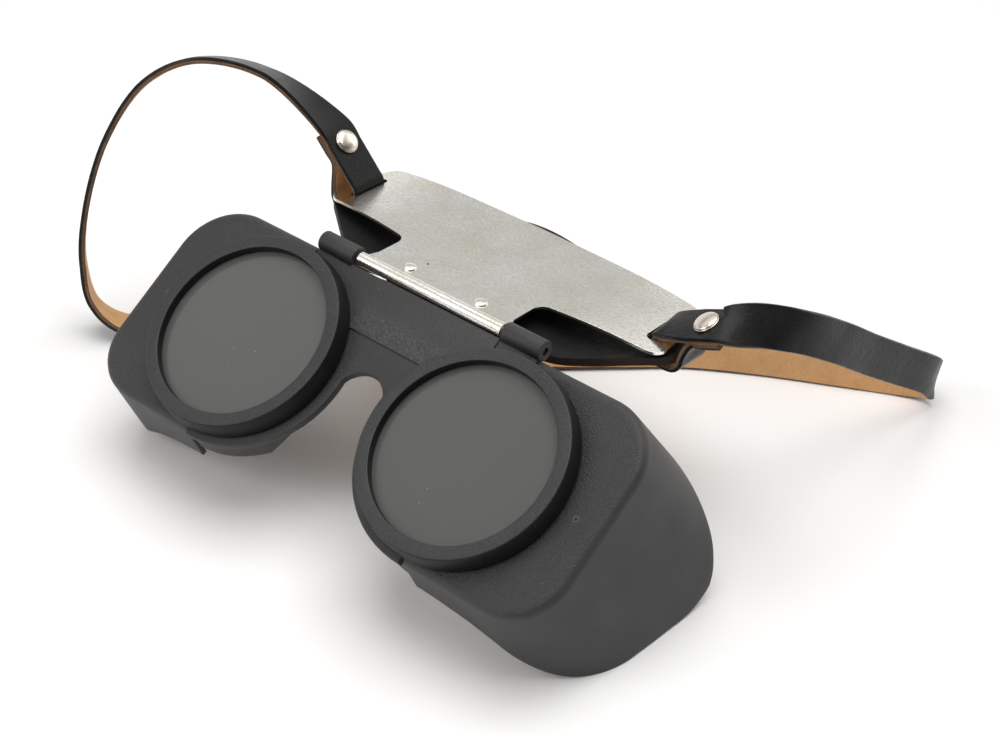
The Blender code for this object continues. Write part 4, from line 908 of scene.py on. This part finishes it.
reach = PLATE_END_X + OVERRUN
top = PLATE_TOP_Y + OVERRUN
section = ([(top, PLATE_BACK_Z)]
           + arc((0.0, 0.0), BORE_R, degrees(asin(PLATE_BACK_Z / BORE_R)), 360 - BARREL_GAP)
           + arc((0.0, 0.0), BARREL_R, 360 - BARREL_GAP, degrees(asin(PLATE_FRONT_Z / BARREL_R)))
           + [(top, PLATE_FRONT_Z)])
cuts = [side * (BEND_FROM_X + (reach - BEND_FROM_X) * i / BEND_STEPS)
        for side in (-1, 1) for i in range(BEND_STEPS)]
sheet = bent_sheet(section, reach, bend, cuts)
steps = [("INTERSECT", slab(plate_outline(), -OVERRUN * 2, OVERRUN))]
for side in (-1, 1):
    steps.append(("DIFFERENCE", slab(slot_outline(side * SLOT_X, SLOT_Y, SLOT_WIDTH, SLOT_LENGTH),
                                     -OVERRUN * 2, OVERRUN)))
item = shown("plate", carve(sheet, *steps))
soften(item, BLANKED_EDGE_R, 2, 60)
dome = [(DIMPLE_R * sin(a), DIMPLE_H * cos(a) ** 0.6) for a in (pi / 2 * i / 9 for i in range(9))]
dome += [(DIMPLE_R, 0.0), (DIMPLE_R, -SHEET_T / 2), (0.0, -SHEET_T / 2)]
dimples = []
for side in (-1, 1):
    middle = Matrix.Translation((side * DIMPLE_X, DIMPLE_Y, PLATE_FRONT_Z))
    dimples.append(("UNION", moved(turned(dome, DIMPLE_FACETS), middle)))
dressed("brow_plate_sheet", carve(finished_mesh(item), *dimples), BROW, "brow", ["brow_plate"],
        [zinc_plate], sharp=20)

# Brow pad
# A single piece of grain leather behind the plate, black outside with a raw tan edge,
# slotted at each end and held to the plate by the strap that passes through both.
PAD_T = 0.0022
PAD_GAP = 0.0004
PAD_SAG = 0.0050
PAD_SAG_X = 0.0620
PAD_END_X = 0.0572
PAD_LOW_Y = 0.0058
PAD_TOP_Y = 0.0475
PAD_LOW_RISE = 0.0170
PAD_TOP_FALL = 0.0020
PAD_CORNER_R = 0.0060
PAD_FLAT_X = 0.0340
PAD_SLOT_WIDTH = 0.0034
PAD_SLOT_LENGTH = 0.0132
PAD_EDGE_R = 0.00025
PAD_COLUMNS = 96
PAD_ROWS = 30
PAD_WAVE_H = 0.00010
PAD_WAVE_TURNS = (210.0, 90.0)      # radians per metre along the pad and up it


def grain_leather(name, tones, gloss, coordinates):
    """Black pigmented grain leather: pebbles 0.75 mm across under a pressed finish, with a low sheen."""
    made, tree, where = new_material(name, coordinates)
    pebble = add(tree, "ShaderNodeTexVoronoi", {"Scale": MM / 0.75, "feature": "SMOOTH_F1",
                                                "Smoothness": 0.6, "Vector": where})
    crease = add(tree, "ShaderNodeTexNoise", {"Scale": MM / 2.4, "Detail": 5.0, "Roughness": 0.6,
                                              "Vector": where})
    cloud = add(tree, "ShaderNodeTexNoise", {"Scale": MM / 12.0, "Detail": 3.0, "Vector": where})
    ramp = add(tree, "ShaderNodeValToRGB", {"stops": ((0.32, tones[0]), (0.70, tones[1])), "Fac": cloud})
    rough = add(tree, "ShaderNodeMapRange", {0: crease, 1: 0.3, 2: 0.7, 3: gloss[0], 4: gloss[1]})
    bump_a = add(tree, "ShaderNodeBump", {"Strength": 0.5, "Distance": 0.00010, "Height": pebble})
    bump_b = add(tree, "ShaderNodeBump", {"Strength": 0.35, "Distance": 0.00020, "Height": crease,
                                          "Normal": bump_a})
    shader = add(tree, "ShaderNodeBsdfPrincipled", {"IOR": 1.48, "Specular IOR Level": 0.17,
                                                    "Base Color": ramp, "Roughness": rough, "Normal": bump_b})
    add(tree, "ShaderNodeOutputMaterial", {"Surface": shader})
    return made


def raw_leather(name, tones, fibre_mm, depth, coordinates):
    """Flesh side or cut edge of leather: matted fibres, tan where undyed, with no shine at all."""
    made, tree, where = new_material(name, coordinates)
    nap = add(tree, "ShaderNodeTexNoise", {"Scale": MM / fibre_mm, "Detail": 6.0, "Roughness": 0.7,
                                           "Distortion": 0.8, "Vector": where})
    patch = add(tree, "ShaderNodeTexNoise", {"Scale": MM / 6.0, "Detail": 3.0, "Vector": where})
    patchy = add(tree, "ShaderNodeMath", {"operation": "MULTIPLY", 0: patch, 1: 0.35})
    both = add(tree, "ShaderNodeMath", {"operation": "MULTIPLY_ADD", 0: nap, 1: 0.65, 2: patchy})
    ramp = add(tree, "ShaderNodeValToRGB", {"stops": ((0.34, tones[0]), (0.66, tones[1])), "Fac": both})
    bump = add(tree, "ShaderNodeBump", {"Strength": 0.6, "Distance": depth, "Height": nap})
    shader = add(tree, "ShaderNodeBsdfPrincipled", {"Roughness": 0.95, "Specular IOR Level": 0.2,
                                                    "Sheen Weight": 0.15, "Base Color": ramp, "Normal": bump})
    add(tree, "ShaderNodeOutputMaterial", {"Surface": shader})
    return made


def pad_sag(x):
    """How far the pad hangs behind the plate's flat middle at x."""
    return bend(x) + PAD_SAG * sin(pi * min(1.0, abs(x) / PAD_SAG_X)) ** 2


def pad_depth(x):
    """Middle of the pad behind the pin's axis."""
    return PAD_GAP - PLATE_BACK_Z + PAD_T / 2 + pad_sag(x)


def pad_half_outline():
    """Outline of the pad's right half, from its lower edge round to its top."""
    low_corner = (PAD_END_X, PAD_LOW_Y + PAD_LOW_RISE)
    high_corner = (PAD_END_X, PAD_TOP_Y - PAD_TOP_FALL)
    return ([(0.0, PAD_LOW_Y), (PAD_FLAT_X * 0.5, PAD_LOW_Y)]
            + fillet((0.0, PAD_LOW_Y), (PAD_FLAT_X, PAD_LOW_Y), low_corner, PAD_LOW_RISE)
            + fillet((PAD_FLAT_X, PAD_LOW_Y), low_corner, high_corner, PAD_LOW_RISE / 3)
            + fillet(low_corner, high_corner, (PAD_FLAT_X, PAD_TOP_Y), PAD_CORNER_R)
            + fillet(high_corner, (PAD_FLAT_X, PAD_TOP_Y), (0.0, PAD_TOP_Y), PAD_LOW_RISE)
            + [(0.0, PAD_TOP_Y)])


def reach_at(outline, x):
    """Lowest and highest y of an outline at x."""
    found = []
    for (x0, y0), (x1, y1) in zip(outline, outline[1:]):
        if min(x0, x1) <= x <= max(x0, x1) and x0 != x1:
            found.append(y0 + (y1 - y0) * (x - x0) / (x1 - x0))
    return min(found), max(found)


pad_grain = grain_leather("black_grain_leather_pad", ("#141414", "#1e1e1e"), (0.42, 0.62), "Object")
pad_edge = raw_leather("dyed_leather_edge", ("#15110f", "#3a2a20"), 0.5, 0.00012, "Object")
pad_flesh = raw_leather("leather_flesh_side", ("#a07a52", "#cda377"), 0.9, 0.00012, "Object")
outline = pad_half_outline()
bm = bmesh.new()
grid = []
for i in range(PAD_COLUMNS + 1):
    x = PAD_END_X * sin(pi / 2 * (2 * i / PAD_COLUMNS - 1))
    low, high = reach_at(outline, min(abs(x), PAD_END_X * 0.9999))
    grid.append([])
    for j in range(PAD_ROWS + 1):
        y = low + (high - low) * j / PAD_ROWS
        wave = PAD_WAVE_H * (sin(x * PAD_WAVE_TURNS[0] + y * PAD_WAVE_TURNS[1]) - 1)
        grid[-1].append(bm.verts.new((x, y, -pad_depth(x) + PAD_T / 2 + wave)))
for i in range(PAD_COLUMNS):
    for j in range(PAD_ROWS):
        bm.faces.new((grid[i][j], grid[i + 1][j], grid[i + 1][j + 1], grid[i][j + 1]))
mesh = mesh_of(bm, "pad")
for material in (pad_grain, pad_edge, pad_flesh):
    mesh.materials.append(material)
item = shown("pad", mesh)
hide = item.modifiers.new("Hide", "SOLIDIFY")
hide.thickness = PAD_T
hide.offset = -1
hide.material_offset = 2
hide.material_offset_rim = 1
soften(item, PAD_EDGE_R, 3, 60)
mesh = finished_mesh(item)
punches = []
for side in (-1, 1):
    punch = slab(slot_outline(side * SLOT_X, SLOT_Y, PAD_SLOT_WIDTH, PAD_SLOT_LENGTH), -OVERRUN * 3, OVERRUN)
    punch.materials.append(pad_edge)
    punches.append(("DIFFERENCE", punch))
pad = dressed("brow_pad_leather", carve(mesh, *punches), BROW, "brow", ["brow_pad"],
              [pad_grain, pad_edge, pad_flesh], sharp=40)

# Head strap
# One strip cut from the same black hide, 11 mm wide, tan on its flesh side and along its
# cut edges. Each end goes down through the plate and the pad, round the pad's end and
# back up to the rivet; the run between the rivets lies looped on the table.
STRAP_W = 0.0110
STRAP_T = 0.0018
LAYER_GAP = 0.0003
FOLD_X = SLOT_X + 0.00055
FOLD_Z = PLATE_FRONT_Z - bend(SLOT_X) + 0.0011
TAIL_RUN = 0.0050
RIVET_HEAD_R = 0.0034
RIVET_RIM = 0.0004
ROUTE_STEP = 0.0012
# Each end: its side, its rise and twist in degrees and how far its rivet is from the fold.
STRAP_ENDS = {"left": (-1, 45.0, 0.0, 0.0125), "right": (1, 23.5, 20.0, 0.0129)}
# The free run from the left rivet to the right one: places from the table datum, and where the
# strap's width points. A height of 0 is raised until the strap lies on the table.
STRAP_ROUTE = (
    ((-0.0793, 0.0529, 0.0825), (-0.55, 0.70, -0.34)),
    ((-0.0954, 0.0434, 0.0848), (-0.64, 0.60, -0.44)),
    ((-0.1091, 0.0354, 0.0768), (-0.68, 0.56, -0.47)),
    ((-0.1185, 0.0264, 0.0594), (-0.70, 0.51, -0.50)),
    ((-0.1223, 0.0184, 0.0380), (-0.70, 0.49, -0.52)),
    ((-0.1218, 0.0144, 0.0220), (-0.68, 0.53, -0.50)),
    ((-0.1178, 0.0134, 0.0100), (-0.62, 0.64, -0.44)),
    ((-0.1103, 0.0179, 0.0035), (-0.54, 0.80, -0.22)),
    ((-0.0985, 0.0322, 0.0000), (-0.52, 0.85, -0.03)),
    ((-0.0754, 0.0492, 0.0000), (-0.53, 0.85, 0.00)),
    ((-0.0452, 0.0662, 0.0000), (-0.55, 0.83, 0.05)),
    ((-0.0155, 0.0836, 0.0000), (-0.55, 0.80, 0.25)),
    ((0.0055, 0.1001, 0.0000), (-0.38, 0.62, 0.70)),
    ((0.0225, 0.1132, 0.0000), (-0.15, 0.38, 0.92)),
    ((0.0425, 0.1247, 0.0000), (-0.07, 0.25, 0.97)),
    ((0.0625, 0.1347, 0.0000), (-0.06, 0.20, 0.98)),
    ((0.0755, 0.1412, 0.0000), (-0.05, 0.20, 0.98)),
    ((0.0835, 0.1437, 0.0070), (-0.02, 0.24, 0.96)),
    ((0.0860, 0.1387, 0.0125), (0.03, 0.30, 0.94)),
    ((0.0846, 0.1212, 0.0257), (0.00, 0.40, 0.90)),
    ((0.0831, 0.1070, 0.0363), (-0.03, 0.46, 0.86)),
    ((0.0821, 0.0914, 0.0484), (-0.08, 0.52, 0.82)),
    ((0.0795, 0.0775, 0.0579), (0.10, 0.56, 0.80)),
    ((0.0728, 0.0690, 0.0613), (-0.06, 0.84, 0.54)),
)


def strap_axes(side, rise, twist):
    """Directions along, out of and across the strap at a rivet, in the brow datum."""
    slope = radians(rise)
    along = Vector((cos(slope), 0.0, sin(slope)))
    turn = Matrix.Rotation(radians(twist), 3, along)
    axes = along, turn @ Vector((-sin(slope), 0.0, cos(slope))), turn @ Vector((0.0, 1.0, 0.0))
    return [Vector((side * v.x, v.y, v.z)) for v in axes]


def strap_end(side, rise, twist, rivet_run):
    """One strap end in the brow datum, from its tail out to the free run: points and widths."""
    along, over, across = strap_axes(1, rise, twist)
    fold = Vector((FOLD_X, SLOT_Y, FOLD_Z))
    under = over * (STRAP_T + LAYER_GAP)
    pad_back = pad_depth((SLOT_X + PAD_END_X) / 2) + PAD_T / 2 + CLEARANCE + STRAP_T / 2
    pad_out = PAD_END_X + CLEARANCE + STRAP_T / 2

    def at(x, z):
        return Vector((x, SLOT_Y, z))

    line = [fold + along * (rivet_run + TAIL_RUN) - under,
            fold + along * rivet_run - under,
            fold + along * (rivet_run - RIVET_HEAD_R) - under,
            at(pad_out + STRAP_T * 0.35, (FOLD_Z - pad_back) * 0.42),
            at(pad_out + STRAP_T * 0.20, -pad_back + STRAP_T * 0.60),
            at(pad_out - STRAP_T * 0.8, -pad_back - STRAP_T * 0.4),
            at(SLOT_X + STRAP_T * 0.9, -pad_back - STRAP_T * 0.4),
            at(SLOT_X + STRAP_T * 0.05, -pad_back + STRAP_T * 0.5),
            at(SLOT_X, -pad_depth(SLOT_X) + PAD_T * 0.3),
            at(SLOT_X, PLATE_BACK_Z - bend(SLOT_X) + SHEET_T / 2),
            fold,
            fold + along * STRAP_T,
            fold + along * (rivet_run - RIVET_HEAD_R),
            fold + along * rivet_run,
            fold + along * (rivet_run + RIVET_HEAD_R + RIVET_RIM)]
    straight = Vector((0.0, 1.0, 0.0))
    turned_by = [1.0, 1.0, 1.0, 0.5, *[0.0] * 6, 0.3, 0.6, 1.0, 1.0, 1.0]
    return [(BROW @ Vector((side * p.x, p.y, p.z)), BROW.to_3x3() @ Vector((side * w.x, w.y, w.z)))
            for p, w in ((p, straight.lerp(across, share).normalized()) for p, share in zip(line, turned_by))]


def through(points, spacing):
    """Centripetal curve through the points: samples with their place in the list."""
    knots = [0.0]
    for a, b in zip(points, points[1:]):
        knots.append(knots[-1] + sqrt((b - a).length))
    ends = [points[0] * 2 - points[1], *points, points[-1] * 2 - points[-2]]
    times = [knots[0] - (knots[1] - knots[0]), *knots, knots[-1] * 2 - knots[-2]]
    samples = []
    for i in range(len(points) - 1):
        p, t = ends[i:i + 4], times[i:i + 4]
        count = max(3, ceil((p[2] - p[1]).length / spacing))
        for k in range(count + (i == len(points) - 2)):
            u = t[1] + (t[2] - t[1]) * k / count
            a = [p[j] * ((t[j + 1] - u) / (t[j + 1] - t[j])) + p[j + 1] * ((u - t[j]) / (t[j + 1] - t[j]))
                 for j in range(3)]
            b = [a[j] * ((t[j + 2] - u) / (t[j + 2] - t[j])) + a[j + 1] * ((u - t[j]) / (t[j + 2] - t[j]))
                 for j in range(2)]
            samples.append((b[0] * ((t[2] - u) / (t[2] - t[1])) + b[1] * ((u - t[1]) / (t[2] - t[1])),
                            i + k / count))
    return samples


route = strap_end(*STRAP_ENDS["left"])
for (x, y, height), direction in STRAP_ROUTE:
    width = Vector(direction).normalized()
    half = abs(width.z) * STRAP_W / 2 + hypot(width.x, width.y) * STRAP_T / 2
    route.append((TABLE_DATUM + Vector((x, y, max(height, half))), width))
route += reversed(strap_end(*STRAP_ENDS["right"]))
widths = [width for _, width in route]
samples = through([point for point, _ in route], ROUTE_STEP)

# Section of the strap: across and inwards, as shares of half its width and thickness,
# with the face that each side belongs to: 0 grain, 1 cut edge, 2 flesh.
EDGE_SHARE = 0.045
section = [(-1.0, 0.55, 1), (-1.0 + EDGE_SHARE, 1.0, 2), (-0.5, 1.0, 2), (0.0, 1.0, 2), (0.5, 1.0, 2),
           (1.0 - EDGE_SHARE, 1.0, 1), (1.0, 0.55, 1), (1.0, 0.0, 0), (1.0, -0.55, 0),
           (1.0 - EDGE_SHARE, -1.0, 0), (0.5, -1.0, 0), (0.0, -1.0, 0), (-0.5, -1.0, 0),
           (-1.0 + EDGE_SHARE, -1.0, 0), (-1.0, -0.55, 0), (-1.0, 0.0, 1)]
bm = bmesh.new()
uv_layer = bm.loops.layers.uv.new("UVMap")
loops = []
stations = []
run = 0.0
for i, (middle, where) in enumerate(samples):
    before, after = samples[max(i - 1, 0)][0], samples[min(i + 1, len(samples) - 1)][0]
    forward = (after - before).normalized()
    index = min(int(where), len(widths) - 2)
    width = widths[index].lerp(widths[index + 1], where - index)
    width = (width - forward * width.dot(forward)).normalized()
    inward = forward.cross(width)
    if i:
        run += (middle - samples[i - 1][0]).length
    stations.append(run)
    corners = [middle + width * (a * STRAP_W / 2) + inward * (b * STRAP_T / 2) for a, b, _ in section]
    loops.append([bm.verts.new((p.x, p.y, max(p.z, 0.0))) for p in corners])
count = len(section)
girth = [0.0]
for (a0, b0, _), (a1, b1, _) in zip(section, section[1:] + section[:1]):
    girth.append(girth[-1] + hypot((a1 - a0) * STRAP_W / 2, (b1 - b0) * STRAP_T / 2))
for i in range(len(loops) - 1):
    for j in range(count):
        k = (j + 1) % count
        face = bm.faces.new((loops[i][j], loops[i][k], loops[i + 1][k], loops[i + 1][j]))
        face.material_index = section[j][2]
        for loop, (u, v) in zip(face.loops, ((stations[i], girth[j]), (stations[i], girth[j + 1]),
                                             (stations[i + 1], girth[j + 1]), (stations[i + 1], girth[j]))):
            loop[uv_layer].uv = (u, v)
for end in (loops[0], loops[-1][::-1]):
    bm.faces.new(end).material_index = 1
bmesh.ops.recalc_face_normals(bm, faces=bm.faces)
strap_grain = grain_leather("black_grain_leather_strap", ("#181818", "#20201f"), (0.24, 0.40), "UV")
strap_edge = raw_leather("cut_strap_edge", ("#33241b", "#8f6e54"), 0.40, 0.00010, "UV")
strap_flesh = raw_leather("strap_flesh_side", ("#c89867", "#e0b380"), 0.8, 0.00010, "UV")
dressed("head_strap_leather", mesh_of(bm, "strap"), Matrix.Identity(4), "brow", ["head_strap"],
        [strap_grain, strap_edge, strap_flesh], sharp=40)

# Rivets
# Two-part tubular rivets, nickel plated: a domed cap with a rolled rim on the grain side
# and a small base washer on the flesh side, closed over each other through both layers.
RIVET_DOME = 0.0010
RIVET_SHANK_R = 0.0013
RIVET_BASE_R = 0.0026
RIVET_BASE_T = 0.0008
RIVET_FACETS = 72

# Bright nickel plate: a warm mirror, a little dulled where the cap has been rubbed.
nickel, tree, place = new_material("bright_nickel_plate")
shader = add(tree, "ShaderNodeBsdfPrincipled", {"Base Color": linear("#e0d6c8"), "Metallic": 1.0,
                                                "Roughness": drift(tree, place, 1.4, 4.0, 0.16, 0.30)})
add(tree, "ShaderNodeOutputMaterial", {"Surface": shader})

foot = -2 * STRAP_T - LAYER_GAP - CLEARANCE
rim_top = CLEARANCE + RIVET_RIM
dome = [(RIVET_HEAD_R * sin(a) * 0.955, rim_top + RIVET_DOME * cos(a) ** 0.85 if a < pi / 2 else rim_top)
        for a in (pi / 2 * i / 12 for i in range(13))]
cap = dome + [(RIVET_HEAD_R * 0.985, rim_top - RIVET_RIM * 0.1), (RIVET_HEAD_R, rim_top - RIVET_RIM * 0.4),
              (RIVET_HEAD_R * 0.99, CLEARANCE * 0.6), (RIVET_HEAD_R * 0.94, CLEARANCE * 0.2),
              (RIVET_SHANK_R, CLEARANCE * 0.2), (RIVET_SHANK_R, foot),
              (RIVET_SHANK_R * 0.8, foot - RIVET_BASE_T / 2), (0.0, foot - RIVET_BASE_T / 2)]
bore = RIVET_SHANK_R + CLEARANCE
base = [(RIVET_BASE_R * 0.94, foot), (RIVET_BASE_R, foot - RIVET_BASE_T * 0.3),
        (RIVET_BASE_R * 0.96, foot - RIVET_BASE_T * 0.75), (RIVET_BASE_R * 0.8, foot - RIVET_BASE_T),
        (bore * 1.1, foot - RIVET_BASE_T * 0.9), (bore, foot - RIVET_BASE_T * 0.6), (bore, foot)]
for label, (side, rise, twist, rivet_run) in STRAP_ENDS.items():
    along, over, _ = strap_axes(side, rise, twist)
    top = Vector((side * FOLD_X, SLOT_Y, FOLD_Z)) + along * rivet_run + over * (STRAP_T / 2)
    seat = BROW @ Matrix.Translation(top) @ over.to_track_quat("Z", "Y").to_matrix().to_4x4()
    for name, section, on_axis in ((f"rivet_cap_{label}", cap, True), (f"rivet_base_{label}", base, False)):
        dressed(f"{name}_nickel", turned(section, RIVET_FACETS, on_axis), seat, "brow", [name],
                [nickel], sharp=50)
